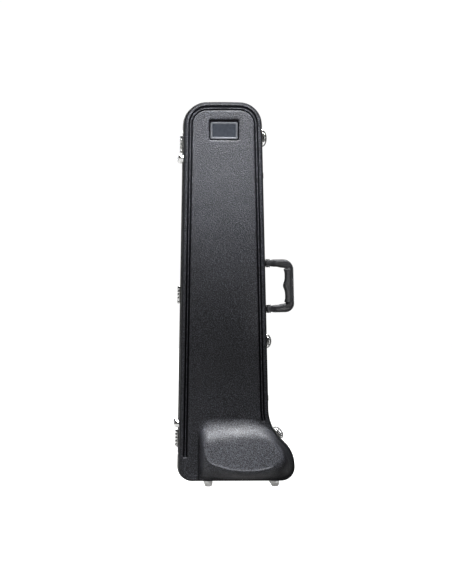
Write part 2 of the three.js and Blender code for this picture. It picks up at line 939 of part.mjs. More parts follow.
function latchLever(length) {
  const half = length / 2
  const base = clearance * 2 + plateThickness
  const rise = latchRise - base
  const outer = halfEllipse(half, rise, archSteps)
  const inner = halfEllipse(half - latchWall, rise - latchWall, archSteps)
  const shape = new THREE.Shape(outer.concat(inner.reverse()))
  const arch = new THREE.ExtrudeGeometry(shape, {
    depth: leverEnd - leverStart,
    bevelEnabled: false,
  })
  arch.rotateX(Math.PI / 2)
  arch.translate(base, leverEnd, 0)
  let lever = solid(arch)
  const bailHole = bar(
    [bailPivotRise, bailPivotDepth, -bailHalfWidth],
    [bailPivotRise, bailPivotDepth, bailHalfWidth],
    bailRadius + clearance,
    wireSides,
  )
  for (const sign of [-1, 1]) {
    const w = [sign * ribOffset, sign * (ribOffset + ribThickness)].sort((a, b) => a - b)
    const rib = new THREE.Shape()
    const front = leverPivotDepth - earWidth / 2
    const back = leverStart + latchWall
    const low = bailPivotRise - earWidth / 2
    rib.moveTo(leverPivotRise, front)
    rib.lineTo(leverPivotRise + earWidth / 2, leverPivotDepth)
    rib.lineTo(latchRise - latchWall, leverStart)
    rib.lineTo(latchRise - latchWall, back)
    rib.lineTo(bailPivotRise, back)
    rib.lineTo(low, bailPivotDepth)
    rib.lineTo(leverPivotRise - earWidth / 2, leverPivotDepth)
    lever = lever.add(plateXY(rib, w[0], w[1]))
  }
  const lipHalf = half / 2
  const lipFrom = [latchRise - latchWall * 2, leverEnd - latchWall, -lipHalf]
  lever = lever.add(box(lipFrom, [latchRise - latchWall, leverEnd + leverLip, lipHalf]))
  return lever.subtract(bailHole).subtract(latchPinBar(latchPinRadius + clearance, overrun))
}

// Round wire along a bent path that lies in one plane, mitred at its bends
function wire(path, radius, sides = wireSides) {
  const points = path.map((p) => new THREE.Vector3(...p))
  const count = points.length
  const step = (i) => points[i + 1].clone().sub(points[i]).normalize()
  const plane = new THREE.Vector3()
  plane.crossVectors(step(0), step(1)).normalize()
  const rings = points.map((point, i) => {
    const into = step(Math.max(i - 1, 0))
    const out = step(Math.min(i, count - 2))
    const middle = into.clone().add(out).normalize()
    const side = new THREE.Vector3().crossVectors(plane, middle)
    const stretch = 1 / middle.dot(into)
    return Array.from({ length: sides }, (_, k) => {
      const angle = (2 * Math.PI * (k + 1 / 2)) / sides
      return point
        .clone()
        .addScaledVector(side, radius * stretch * Math.cos(angle))
        .addScaledVector(plane, radius * Math.sin(angle))
    })
  })
  const positions = rings.flat().flatMap((p) => [p.x, p.y, p.z])
  const index = []
  for (let r = 0; r < count - 1; r += 1) {
    for (let k = 0; k < sides; k += 1) {
      const a = r * sides + k
      const b = r * sides + ((k + 1) % sides)
      index.push(a, b, b + sides, a, b + sides, a + sides)
    }
  }
  const end = (count - 1) * sides
  for (let k = 1; k < sides - 1; k += 1) {
    index.push(0, k + 1, k, end, end + k, end + k + 1)
  }
  const geometry = new THREE.BufferGeometry()
  geometry.setAttribute('position', new THREE.Float32BufferAttribute(positions, 3))
  geometry.setIndex(index)
  return solid(facesOutward(geometry))
}

// Wire bail: two stubs in the lever's ribs, two legs, and a nose that lies over the keeper's lip
const noseRise = keeperLipRise + clearance + bailRadius

function latchBail() {
  const w = bailHalfWidth
  const stub = ribOffset + clearance
  const path = [
    [bailPivotRise, bailPivotDepth, -stub],
    [bailPivotRise, bailPivotDepth, -w],
    [noseRise, -bailNose, -w],
    [noseRise, -bailNose, w],
    [bailPivotRise, bailPivotDepth, w],
    [bailPivotRise, bailPivotDepth, stub],
  ]
  return wire(path, bailRadius)
}

function latchKeeper() {
  const half = keeperHalfLength
  const top = clearance + plateThickness
  const plate = box([clearance, -latchPlateStart - keeperDepth, -half], [top, -latchPlateStart, half])
  const lipFrom = [clearance, -bailNose - keeperLipWidth / 2, -half + latchPlateMargin]
  const lip = box(lipFrom, [keeperLipRise, -bailNose + keeperLipWidth / 2, half - latchPlateMargin])
  return plate.add(lip)
}

// Handle, in the frame of its edge, with y measured from its own middle
function handleOutline(inward) {
  const half = handleLength / 2 - inward
  const reach = handleReach - inward
  return roundedShape(handleArmStart, reach, -half, half, handleCorner - inward)
}

function handleFrame() {
  const outer = new THREE.ExtrudeGeometry(handleOutline(handleBevel), {
    depth: handleThickness - handleBevel * 2,
    bevelThickness: handleBevel,
    bevelSize: handleBevel,
    bevelSegments: 1,
    curveSegments: plateSteps,
  })
  outer.rotateX(Math.PI / 2)
  outer.translate(0, handleThickness / 2 - handleBevel, 0)
  const cut = roundedShape(
    handleArmStart - handleThickness,
    handleReach - handleGripWidth,
    -handleLength / 2 + handleArm,
    handleLength / 2 - handleArm,
    handleCorner / 2,
  )
  let frame = solid(outer).subtract(plateXZ(cut, -handleThickness, handleThickness))
  for (const sign of [-1, 1]) {
    const middle = (sign * handlePivotSpan) / 2
    const low = middle - handleLoopLength / 2
    const high = middle + handleLoopLength / 2
    const hub = bar([handlePivotRise, 0, low], [handlePivotRise, 0, high], handleLoopRadius)
    const neck = box(
      [handlePivotRise, -handleLoopRadius, low],
      [handleArmStart + handleBevel * 2, handleLoopRadius, high],
    )
    const bore = bar(
      [handlePivotRise, 0, low - overrun],
      [handlePivotRise, 0, high + overrun],
      handlePinRadius + clearance,
    )
    frame = frame.add(hub).add(neck).subtract(bore)
  }
  const seat = sleeveOuter(clearance).subtract(sleeveCore(-clearance))
  return frame.subtract(seat)
}

// Grip sleeve round the outer bar of the handle
function sleeveOuter(grow) {
  const half = sleeveLength / 2 + grow
  const shape = roundedShape(
    handleReach - handleGripWidth - handlePalmRise - grow,
    handleReach + grow,
    -handleThickness / 2 - grow,
    handleThickness / 2 + grow,
    sleeveRadius,
  )
  return plateXY(shape, -half, half)
}

function sleeveCore(grow) {
  const half = sleeveLength / 2 + overrun
  const shape = roundedShape(
    handleReach - handleGripWidth + sleeveWall - grow,
    handleReach - sleeveWall + grow,
    -handleThickness / 2 + sleeveWall - grow,
    handleThickness / 2 - sleeveWall + grow,
    sleeveRadius - sleeveWall,
  )
  return plateXY(shape, -half, half)
}

function handleSleeve() {
  return sleeveOuter(0).subtract(sleeveCore(0))
}

const handleSeatDrop = wallInset(handleDepth - handlePlateWidth / 2) - clearance

function handlePlate() {
  const half = handlePlateLength / 2
  const wide = handlePlateWidth / 2
  let plate = box([0, -wide, -half], [handlePlateThickness, wide, half])
  const ear = handleLoopLength / 2 + clearance
  for (const sign of [-1, 1]) {
    const w = [sign * ear, sign * (ear + handleEarThickness)].sort((a, b) => a - b)
    const rise = handlePivotRise + handleSeatDrop
    plate = plate.add(bar([rise, 0, w[0]], [rise, 0, w[1]], handleEarRadius))
    plate = plate.add(box([0, -handleEarRadius, w[0]], [rise, handleEarRadius, w[1]]))
  }
  const rise = handlePivotRise + handleSeatDrop
  return plate.subtract(bar([rise, 0, -half], [rise, 0, half], handlePinRadius + clearance))
}

function handlePin() {
  const half = handleLoopLength / 2 + clearance + handleEarThickness
  return bar([0, 0, -half], [0, 0, half], handlePinRadius)
}

// Foot: a turned dome with a flat tip, its axis along x
function footGeometry(radius, rise) {
  const profile = [
    [0, 0],
    [radius, 0],
    [radius, footRim],
    ...footDomeShares.map(([radiusShare, riseShare]) => [radius * radiusShare, rise * riseShare]),
    [footTipRadius, rise],
    [0, rise],
  ].map(([r, y]) => new THREE.Vector2(r, y))
  const geometry = new THREE.LatheGeometry(profile, roundSides)
  geometry.rotateZ(-Math.PI / 2)
  return solid(geometry)
}

function studGeometry() {
  return bar([0, 0, 0], [studRise, 0, 0], studRadius, wireSides)
}

// Strap staple: a low bridge on a plate
function strapStaple() {
  const half = stapleLength / 2
  const wide = stapleWidth / 2
  const plate = box([0, -wide, -half], [plateThickness, wide, half])
  const bridge = box([0, -wide / 2, -half / 2], [stapleRise, wide / 2, half / 2])
  const gap = box(
    [plateThickness, -wide, -half / 2 + stapleBand],
    [stapleRise - stapleBand, wide, half / 2 - stapleBand],
  )
  return plate.add(bridge.subtract(gap))
}

// Slide turn buttons and their posts, y is the depth below the lid's parting plane
function slidePost() {
  const low = -buttonRest - postRadius * 2
  const head = -buttonRest + buttonThickness + clearance * 2
  const post = bar([0, low, 0], [0, -buttonRest + clearance, 0], postRadius)
  const stem = bar([0, -buttonRest, 0], [0, head + clearance, 0], postStem)
  return post.add(stem).add(bar([0, head, 0], [0, head + postCap, 0], postRadius))
}

function slideButton() {
  const low = -buttonRest + clearance * 2
  const shape = roundedShape(
    -buttonLength / 2,
    buttonLength / 2,
    -buttonWidth / 2,
    buttonWidth / 2,
    buttonWidth / 2,
  )
  const button = plateXZ(shape, low, low + buttonThickness - clearance)
  return button.subtract(bar([0, -buttonRest - overrun, 0], [0, overrun, 0], postStem + clearance))
}

// Materials
function finish(color, roughness, metalness) {
  return () => new THREE.MeshStandardMaterial({ color, roughness, metalness })
}

const shellPlastic = finish(0x24252a, 0.55, 0)
const valanceMetal = finish(0x2b2b2a, 0.4, 0.8)
const plush = finish(0x1c2236, 0.95, 0)
const nickel = finish(0xc9c9cc, 0.18, 1)
const handleRubber = finish(0x2e2e31, 0.6, 0)
const badgeMetal = finish(0x9a9ea4, 0.35, 0.8)
const trayPlastic = finish(0x202022, 0.7, 0)

// Assembly
const model = new THREE.Group()
const caseGroup = new THREE.Group()
model.add(caseGroup)

function place(parent, name, body, material) {
  const mesh = new THREE.Mesh(geometryOf(body), material())
  mesh.name = name
  parent.add(mesh)
  return mesh
}

// Dense outline, on which the hardware is seated
const densePoints = traceCorners(bodyCorners(arcSteps * seatingTimes, bendSteps * seatingTimes))

function outlineCrossing(axis, value, pick) {
  let best = null
  densePoints.forEach((here, i) => {
    const next = densePoints[(i + 1) % densePoints.length]
    const a = here[axis] - value
    const b = next[axis] - value
    if (a === b || a * b > 0) return
    const t = a / (a - b)
    const x = here.x + (next.x - here.x) * t
    const z = here.z + (next.z - here.z) * t
    if (!best || pick({ x, z }, best)) best = { x, z }
  })
  return best
}

// Frame on the outline: x outward, y to the base, z along the edge. The chord under the piece
// sets its direction, and the origin lies on whatever stands highest under it.
function edgeFrame(centre, length, angle) {
  const normal = new THREE.Vector2(Math.cos(angle), Math.sin(angle))
  const along = new THREE.Vector2(-normal.y, normal.x)
  const rise = (t) => {
    const start = new THREE.Vector2(centre.x, centre.z).addScaledVector(along, t)
    let best = -Infinity
    densePoints.forEach((point, i) => {
      const after = densePoints[(i + 1) % densePoints.length]
      const here = new THREE.Vector2(point.x, point.z).sub(start)
      const next = new THREE.Vector2(after.x, after.z).sub(start)
      const a = here.dot(along)
      const b = next.dot(along)
      if (a === b || a * b > 0) return
      best = Math.max(best, here.lerp(next, a / (a - b)).dot(normal))
    })
    return best
  }
  const low = rise(-length / 2)
  const high = rise(length / 2)
  let proud = 0
  for (let i = 1; i < arcSteps; i += 1) {
    const share = i / arcSteps
    proud = Math.max(proud, rise(length * (share - 1 / 2)) - low - (high - low) * share)
  }
  const base = (low + high) / 2 + proud
  const frame = new THREE.Group()
  frame.position.set(centre.x + normal.x * base, 0, centre.z + normal.y * base)
  frame.rotation.y = Math.atan2(high - low, length) - angle
  caseGroup.add(frame)
  return frame
}

const spineAngle = Math.PI - Math.atan2(spineLean, bodyHeight)

function spineFrame(height, length) {
  const centre = outlineCrossing('z', bodyBottom + height, (a, b) => a.x < b.x)
  return edgeFrame(centre, length, spineAngle)
}

function openFrame(height, length) {
  const centre = outlineCrossing('z', bodyBottom + height, (a, b) => a.x > b.x)
  const low = outlineCrossing('z', bodyBottom + height - length / 4, (a, b) => a.x > b.x)
  const high = outlineCrossing('z', bodyBottom + height + length / 4, (a, b) => a.x > b.x)
  return edgeFrame(centre, length, Math.atan2(low.x - high.x, high.z - low.z))
}

place(caseGroup, 'base_shell', shellHalf(1), shellPlastic)
place(caseGroup, 'lid_shell', shellHalf(-1), shellPlastic)
place(caseGroup, 'base_valance', valance(1), valanceMetal)
place(caseGroup, 'lid_valance', valance(-1), valanceMetal)
place(caseGroup, 'base_lining', baseLining(), plush)
place(caseGroup, 'lid_lining', lidLining(), plush)

place(caseGroup, 'badge_plate', badgePlate(), badgeMetal)

place(caseGroup, 'accessory_tray', accessoryTray(), trayPlastic)
place(caseGroup, 'mouthpiece_cradle', mouthpieceCradle(), trayPlastic)

buttonHeights.forEach((height, i) => {
  const spot = new THREE.Group()
  spot.position.set(slideMiddle, 0, height)
  caseGroup.add(spot)
  place(spot, `slide_post_${pairNames[i]}`, slidePost(), nickel)
  place(spot, `slide_button_${pairNames[i]}`, slideButton(), trayPlastic)
})

hingeHeights.forEach((height, i) => {
  const frame = spineFrame(height, hingeLength)
  place(frame, `hinge_leaf_base_${hingeNames[i]}`, hingeLeaf(1), nickel)
  place(frame, `hinge_leaf_lid_${hingeNames[i]}`, hingeLeaf(-1), nickel)
  place(frame, `hinge_pin_${hingeNames[i]}`, hingePin(), nickel)
})

latchHeights.forEach((height, i) => {
  const frame = openFrame(height, latchLengths[i])
  place(frame, `latch_plate_${latchNames[i]}`, latchPlate(latchLengths[i]), nickel)
  place(frame, `latch_lever_${latchNames[i]}`, latchLever(latchLengths[i]), nickel)
  place(frame, `latch_bail_${latchNames[i]}`, latchBail(), nickel)
  place(frame, `latch_pin_${latchNames[i]}`, latchPinBar(latchPinRadius, 0), nickel)
  place(frame, `latch_keeper_${latchNames[i]}`, latchKeeper(), nickel)
})

const handleFrameGroup = openFrame(handleHeight, handleLength)
const handleMiddle = new THREE.Group()
handleMiddle.position.y = handleDepth
handleFrameGroup.add(handleMiddle)
place(handleMiddle, 'handle_frame', handleFrame(), handleRubber)
place(handleMiddle, 'handle_grip_sleeve', handleSleeve(), handleRubber)
for (const [name, sign] of [['lower', -1], ['upper', 1]]) {
  const z = (sign * handlePivotSpan) / 2
  const plate = place(handleMiddle, `handle_plate_${name}`, handlePlate(), handleRubber)
  plate.position.set(-handleSeatDrop, 0, z)
  const pin = place(handleMiddle, `handle_pin_${name}`, handlePin(), nickel)
  pin.position.set(handlePivotRise, 0, z)
}

function bottomFrame(fromSpine) {
  const centre = outlineCrossing('x', spineX + fromSpine, (a, b) => a.z < b.z)
  return edgeFrame(centre, footRadius * 2, -Math.PI / 2)
}

const halves = [['lid', -1], ['base', 1]]
halves.forEach(([half, side]) => {
  const drop = wallInset(footDepth - footRadius) - clearance
  footPlaces.forEach((fromSpine, i) => {
    const foot = place(
      bottomFrame(fromSpine),
      `foot_${half}_${footNames[i]}`,
      footGeometry(footRadius, floorClearance + drop),
      nickel,
    )
    foot.position.set(-drop, side * footDepth, 0)
  })
  const spineDrop = wallInset(spineFootDepth - spineFootRadius) - clearance
  spineFootHeights.forEach((height, i) => {
    const foot = place(
      spineFrame(height, spineFootRadius * 2),
      `spine_foot_${half}_${pairNames[i]}`,
      footGeometry(spineFootRadius, spineFootRise + spineDrop),
      nickel,
    )
    foot.position.set(-spineDrop, side * spineFootDepth, 0)
  })
})

studHeights.forEach((height, i) => {
  const stud = place(
    spineFrame(height, studRadius * 2),
    `spine_stud_${pairNames[i]}`,
    studGeometry(),
    nickel,
  )
  stud.position.set(clearance - wallInset(studDepth - studRadius), -studDepth, 0)
})

stapleHeights.forEach((height, i) => {
  const staple = place(
    openFrame(height, stapleLength),
    `strap_staple_${pairNames[i]}`,
    strapStaple(),
    nickel,
  )
  staple.position.set(clearance - wallInset(stapleDepth - stapleWidth / 2), stapleDepth, 0)
})

// The origin lies under the middle of the whole case, on the plane that its feet stand on.
const extent = new THREE.Box3().setFromObject(model, true)
caseGroup.position.x = -(extent.min.x + extent.max.x) / 2
caseGroup.position.y = -(extent.min.y + extent.max.y) / 2
model.updateMatrixWorld(true)

export default model
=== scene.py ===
import json
import math

import bpy
import numpy as np
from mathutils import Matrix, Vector, geometry, noise
from mathutils.bvhtree import BVHTree


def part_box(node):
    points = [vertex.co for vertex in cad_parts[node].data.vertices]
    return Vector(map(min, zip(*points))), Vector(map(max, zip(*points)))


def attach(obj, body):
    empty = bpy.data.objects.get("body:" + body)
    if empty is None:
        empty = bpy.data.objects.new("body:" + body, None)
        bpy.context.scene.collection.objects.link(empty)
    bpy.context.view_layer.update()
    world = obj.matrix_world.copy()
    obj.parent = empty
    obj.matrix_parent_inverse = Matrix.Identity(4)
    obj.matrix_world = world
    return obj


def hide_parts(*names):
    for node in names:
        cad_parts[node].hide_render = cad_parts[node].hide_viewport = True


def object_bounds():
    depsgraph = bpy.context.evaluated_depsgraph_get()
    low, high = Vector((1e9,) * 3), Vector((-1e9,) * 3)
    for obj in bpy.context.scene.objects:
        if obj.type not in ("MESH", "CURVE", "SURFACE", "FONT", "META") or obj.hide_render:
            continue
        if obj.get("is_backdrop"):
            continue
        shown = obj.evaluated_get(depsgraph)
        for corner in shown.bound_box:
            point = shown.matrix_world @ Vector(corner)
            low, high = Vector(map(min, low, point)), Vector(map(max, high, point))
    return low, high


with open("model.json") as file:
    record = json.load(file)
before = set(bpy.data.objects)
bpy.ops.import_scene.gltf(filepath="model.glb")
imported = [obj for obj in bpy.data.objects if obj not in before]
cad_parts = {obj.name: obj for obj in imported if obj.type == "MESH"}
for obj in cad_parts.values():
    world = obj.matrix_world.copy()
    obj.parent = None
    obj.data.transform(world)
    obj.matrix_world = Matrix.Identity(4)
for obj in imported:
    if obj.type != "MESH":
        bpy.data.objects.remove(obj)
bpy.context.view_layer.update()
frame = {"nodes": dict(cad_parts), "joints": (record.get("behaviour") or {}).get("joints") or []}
joints = {joint["name"]: joint for joint in frame["joints"]}

# Everything below is measured in millimetres in the case's own frame and turned into metres
# when a mesh is made. The lid is on the -Y side, the base on the +Y side.
MM = 0.001
CASE = np.array([-142.647, 0.0, 0.0])


def add(name, data):
    """A new object of the data, in the scene."""
    obj = bpy.data.objects.new(name, data)
    bpy.context.scene.collection.objects.link(obj)
    return obj


def point_at(obj, place, target):
    obj.location = place
    obj.rotation_mode = "QUATERNION"
    obj.rotation_quaternion = (Vector(target) - Vector(place)).to_track_quat("-Z", "Y")


# -------- camera
camera_data = bpy.data.cameras.new("camera")
camera_data.sensor_width, camera_data.lens, camera_data.clip_end = 36.0, 124.2, 60.0
camera = add("camera", camera_data)
point_at(camera, (-0.25, -5.0, 0.4795), (-0.0208, 0.0, 0.4795))
bpy.context.scene.camera = camera


# -------- materials
def fill(node, **values):
    """Sets a node's sockets; an underscore stands for the space in a socket's name."""
    for name, value in values.items():
        node.inputs[name.replace("_", " ")].default_value = value
    return node


class Mat:
    """A node material with a few ways to add grain, wear and bump."""

    def __init__(self, name, color, roughness, metallic=0.0, gloss=0.5):
        self.material = bpy.data.materials.new(name)
        self.material.use_nodes = True
        self.tree = self.material.node_tree
        self.shader = self.tree.nodes["Principled BSDF"]
        fill(self.shader, Base_Color=(*color, 1.0), Roughness=roughness, Metallic=metallic)
        fill(self.shader, Specular_IOR_Level=gloss)
        self.place = self.node("TexCoord").outputs["Object"]
        self.normal = None

    def node(self, kind, **values):
        made = self.tree.nodes.new("ShaderNode" + kind)
        for key, value in values.items():
            setattr(made, key, value)
        return made

    def link(self, source, target):
        self.tree.links.new(source, target)

    def stretched(self, *scale):
        mapping = fill(self.node("Mapping"), Scale=scale)
        self.link(self.place, mapping.inputs["Vector"])
        return mapping.outputs["Vector"]

    def noise(self, scale, detail=2.0, rough=0.5, vector=None):
        made = fill(self.node("TexNoise"), Scale=scale, Detail=detail, Roughness=rough)
        self.link(vector or self.place, made.inputs["Vector"])
        return made.outputs["Fac"]

    def cells(self, scale, feature="F1"):
        made = fill(self.node("TexVoronoi", feature=feature), Scale=scale)
        self.link(self.place, made.inputs["Vector"])
        return made.outputs["Distance"]

    def range(self, value, low, high, to_low=0.0, to_high=1.0):
        made = fill(self.node("MapRange"), From_Min=low, From_Max=high)
        fill(made, To_Min=to_low, To_Max=to_high)
        self.link(value, made.inputs["Value"])
        return made.outputs["Result"]

    def maths(self, operation, a, b=0.5):
        """Combines a socket with another one or with a number."""
        made = self.node("Math", operation=operation)
        self.link(a, made.inputs[0])
        if isinstance(b, float):
            made.inputs[1].default_value = b
        else:
            self.link(b, made.inputs[1])
        return made.outputs[0]

    def facing(self):
        """How squarely the surface faces front or back, from the shape's own normal."""
        split = self.node("SeparateXYZ")
        self.link(self.node("NewGeometry").outputs["Normal"], split.inputs[0])
        return self.maths("ABSOLUTE", split.outputs[1])

    def bump(self, height, distance, strength=1.0, mask=None):
        made = fill(self.node("Bump"), Strength=strength, Distance=distance)
        if mask is not None:
            self.link(self.range(mask, 0.0, 1.0, 0.0, strength), made.inputs["Strength"])
        self.link(height, made.inputs["Height"])
        if self.normal is not None:
            self.link(self.normal, made.inputs["Normal"])
        self.normal = made.outputs["Normal"]
        self.link(self.normal, self.shader.inputs["Normal"])

    def tint(self, value, *stops):
        """Colours the surface by a value, through (place, colour) stops."""
        made = self.node("ValToRGB")
        elements = made.color_ramp.elements
        while len(elements) < len(stops):
            elements.new(0.5)
        for element, (place, color) in zip(elements, stops):
            element.position = place
            element.color = (*color, 1.0)
        self.link(value, made.inputs["Fac"])
        self.link(made.outputs["Color"], self.shader.inputs["Base Color"])

    def rough(self, value, to_low, to_high, low=0.3, high=0.7):
        self.link(self.range(value, low, high, to_low, to_high), self.shader.inputs["Roughness"])


def shell_plastic():
    """Black moulded sheet with a pebbled face and painted glints; walls and grooves are smooth and
    darker, the grooves with painted shade.
    """
    m = Mat("shell_plastic", (0.012, 0.0127, 0.015), 0.4)
    # The grain attribute also carries painted shade and painted highlights: below, it darkens or
    # lightens the colour and the specular level.
    mask = m.node("Attribute", attribute_name="grain").outputs["Fac"]
    facing = m.facing()
    shown = m.maths("MAXIMUM", m.range(facing, 0.5, 0.85), m.range(facing, 0.12, 0.04))
    patchy = m.maths("MULTIPLY", shown, mask)
    patchy = m.maths("MULTIPLY", patchy, m.range(m.noise(7.0, 3.0), 0.3, 0.7, 0.55, 1.0))
    patchy = m.maths("MULTIPLY", patchy, m.range(mask, 0.7, 1.0, 1.0, 0.5))
    m.bump(m.noise(14.0, 3.0), 0.0012, 0.25)
    m.bump(m.cells(470.0, "SMOOTH_F1"), 0.0017, 0.9, patchy)
    m.bump(m.noise(620.0, 3.0, 0.7), 0.0013, 0.6, patchy)
    m.bump(m.noise(2600.0, 2.0), 0.0002, 0.4)
    # Bright specks in the colour and the specular level are painted glints of the pebbled face.
    painted_glints = m.range(m.noise(450.0, 2.5, 0.7), 0.44, 0.62)
    wear_and_highlight = m.maths("MULTIPLY", m.noise(9.0, 6.0, 0.62), 0.3)
    mixed = m.maths("ADD", wear_and_highlight, m.maths("MULTIPLY", painted_glints, 0.7))
    # A low mask darkens the colour, as painted shade in the grooves and the badge recess; a high
    # mask gives painted highlights.
    lit = m.maths("MULTIPLY", mixed, m.range(mask, 0.0, 1.0, 0.2, 1.0))
    black, dark = (0.0026, 0.0027, 0.0035), (0.0072, 0.0075, 0.0099)
    m.tint(lit, (0.1, black), (0.36, dark), (0.64, (0.037, 0.0386, 0.0495)))
    satin = m.range(m.noise(55.0, 5.0, 0.6), 0.3, 0.7, 0.46, 0.6)
    dull = m.maths("ADD", satin, m.range(mask, 0.82, 1.0, 0.0, 0.1))
    m.link(dull, m.shader.inputs["Roughness"])
    # A low mask also lowers the specular level: painted shade in the grooves.
    gloss = m.maths("MULTIPLY", mask, m.range(painted_glints, 0.0, 1.0, 0.62, 1.38))
    m.link(m.range(gloss, 0.0, 1.0, 0.06, 0.56), m.shader.inputs["Specular IOR Level"])
    return m.material


def valance_metal():
    m = Mat("valance_metal", (0.115, 0.113, 0.105), 0.34, 0.85)
    m.bump(m.noise(60.0, 4.0, 0.6, m.stretched(4.0, 30.0, 4.0)), 0.0003, 0.3)
    m.bump(m.noise(900.0, 2.0), 0.0001, 0.3)
    m.tint(m.noise(22.0, 5.0, 0.65), (0.3, (0.075, 0.074, 0.068)), (0.72, (0.16, 0.157, 0.145)))
    m.rough(m.noise(120.0, 4.0), 0.26, 0.44)
    return m.material


def nickel():
    m = Mat("nickel", (0.74, 0.735, 0.72), 0.16, 1.0)
    m.bump(m.noise(240.0, 3.0), 0.00025, 0.16)
    m.bump(m.noise(90.0, 2.0, 0.5, m.stretched(3.0, 3.0, 22.0)), 0.0001, 0.2)
    m.tint(m.noise(130.0, 5.0, 0.6), (0.28, (0.52, 0.515, 0.5)), (0.6, (0.77, 0.765, 0.75)))
    m.rough(m.noise(180.0, 5.0, 0.65), 0.07, 0.22, 0.3, 0.75)
    return m.material


def plush():
    m = Mat("plush", (0.02, 0.023, 0.04), 0.95)
    pile = m.noise(1500.0, 3.0, 0.7)
    m.bump(m.noise(160.0, 4.0, 0.6), 0.0016, 0.5)
    m.bump(pile, 0.0012, 0.8)
    nap = m.maths("MULTIPLY", m.noise(30.0, 4.0), 0.6)
    nap = m.maths("ADD", nap, m.maths("MULTIPLY", pile, 0.4))
    m.tint(nap, (0.3, (0.009, 0.0105, 0.02)), (0.7, (0.034, 0.038, 0.062)))
    fill(m.shader, Sheen_Weight=0.35, Sheen_Roughness=0.45, Sheen_Tint=(0.45, 0.5, 0.7, 1.0))
    return m.material


def leather(name, dark, light, rough, gloss):
    m = Mat(name, dark, rough, 0.0, gloss)
    m.bump(m.range(m.cells(1150.0, "DISTANCE_TO_EDGE"), 0.0, 0.3), 0.0002, 0.35)
    m.bump(m.noise(190.0, 3.0), 0.0006, 0.25)
    m.bump(m.noise(2000.0, 2.0), 0.0001, 0.3)
    m.tint(m.noise(75.0, 5.0, 0.65), (0.3, dark), (0.75, light))
    m.rough(m.noise(160.0, 4.0), rough - 0.07, rough + 0.1)
    return m.material


def plain_plastic(name, dark, light, rough, grain):
    m = Mat(name, dark, rough, 0.0, 0.25)
    m.bump(m.cells(grain), 0.0003, 0.4)
    m.bump(m.noise(3200.0, 2.0), 0.0001, 0.4)
    m.tint(m.noise(45.0, 5.0, 0.6), (0.3, dark), (0.75, light))
    m.rough(m.noise(140.0, 4.0), rough - 0.06, rough + 0.1)
    return m.material


def satin_metal(name, dark, light, rough, metallic, gloss):
    m = Mat(name, dark, rough, metallic, gloss)
    m.bump(m.noise(120.0, 3.0, 0.6, m.stretched(2.0, 8.0, 40.0)), 0.0002, 0.25)
    m.tint(m.noise(160.0, 4.0, 0.6), (0.3, dark), (0.7, light))
    m.rough(m.noise(240.0, 4.0), rough - 0.06, rough + 0.1)
    return m.material


def thread():
    m = Mat("thread", (0.05, 0.05, 0.052), 0.8)
    m.bump(m.noise(2400.0, 2.0, 0.5, m.stretched(1.0, 1.0, 3.0)), 0.0004, 0.8)
    m.tint(m.noise(500.0, 2.0), (0.3, (0.08, 0.08, 0.085)), (0.7, (0.2, 0.2, 0.21)))
    return m.material


SHELL = shell_plastic()
VALANCE = valance_metal()
NICKEL = nickel()
PLUSH = plush()
STRAP = leather("handle_strap", (0.006, 0.006, 0.0068), (0.013, 0.013, 0.0142), 0.42, 0.26)
GRIP = leather("handle_grip", (0.006, 0.006, 0.007), (0.015, 0.015, 0.016), 0.46, 0.36)
HARD = plain_plastic("black_plastic", (0.010, 0.010, 0.011), (0.022, 0.022, 0.023), 0.42, 900.0)
TRAY = plain_plastic("tray_plastic", (0.014, 0.014, 0.015), (0.028, 0.028, 0.03), 0.5, 600.0)
BORDER = satin_metal("badge_border", (0.030, 0.032, 0.036), (0.055, 0.058, 0.064), 0.5, 0.4, 0.5)
FIELD = satin_metal("badge_field", (0.006, 0.008, 0.0115), (0.011, 0.0135, 0.0185), 0.6, 0.05, 0.16)
THREAD = thread()


# -------- mesh helpers
def place_matrix(origin, u=(1, 0, 0), v=(0, 1, 0), w=(0, 0, 1)):
    """Turns points of a piece's own frame into the case's frame moved to its place, all in mm."""
    return np.array([u, v, w], float), np.array(origin, float)


def edge_frame(w, point, rise=0.0, depth=0.0):
    """Frame of a fitting: w runs along the edge, and the given point lies at u rise, v depth."""
    w = Vector(w).normalized()
    v = Vector((0, 1, 0))
    u = v.cross(w)
    return place_matrix(Vector(point) - u * rise - v * depth, u, v, w)


def box_mm(node):
    """Lowest and highest corner and middle of a CAD node at rest, in mm."""
    low, high = (np.array(corner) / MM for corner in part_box(node))
    return low, high, (low + high) / 2


WORLD = place_matrix(CASE)


def mesh_object(name, verts, faces, where=WORLD, materials=(), index=None, outward=True):
    turn, origin = where
    points = (np.asarray(verts, float) @ turn + origin) * MM
    mesh = bpy.data.meshes.new(name)
    mesh.from_pydata(points.tolist(), [], [list(map(int, f)) for f in faces])
    for material in materials:
        mesh.materials.append(material)
    if index is not None:
        mesh.polygons.foreach_set("material_index", np.asarray(index, np.int32))
    mesh.polygons.foreach_set("use_smooth", [True] * len(mesh.polygons))
    mesh.update()
    obj = add(name, mesh)
    if outward:
        edit(obj, lambda: bpy.ops.mesh.normals_make_consistent(inside=False))
    return obj


def active(obj):
    bpy.ops.object.select_all(action="DESELECT")
    obj.select_set(True)
    bpy.context.view_layer.objects.active = obj


def edit(obj, work):
    active(obj)
    bpy.ops.object.mode_set(mode="EDIT")
    bpy.ops.mesh.select_all(action="SELECT")
    work()
    bpy.ops.object.mode_set(mode="OBJECT")


def tie(obj, body, node):
    """Ties a piece to its body and hides the CAD node that it stands for."""
    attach(obj, body)
    if node:
        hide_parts(node)


def modify(obj, name, kind, **values):
    modifier = obj.modifiers.new(name, kind)
    for key, value in values.items():
        setattr(modifier, key, value)


def bevel_edges(obj, width, segments, angle):
    """Rounds the edges that turn by more than an angle, in degrees."""
    limit = {"limit_method": "ANGLE", "angle_limit": math.radians(angle)}
    modify(obj, "edges", "BEVEL", width=width * MM, segments=segments, **limit)


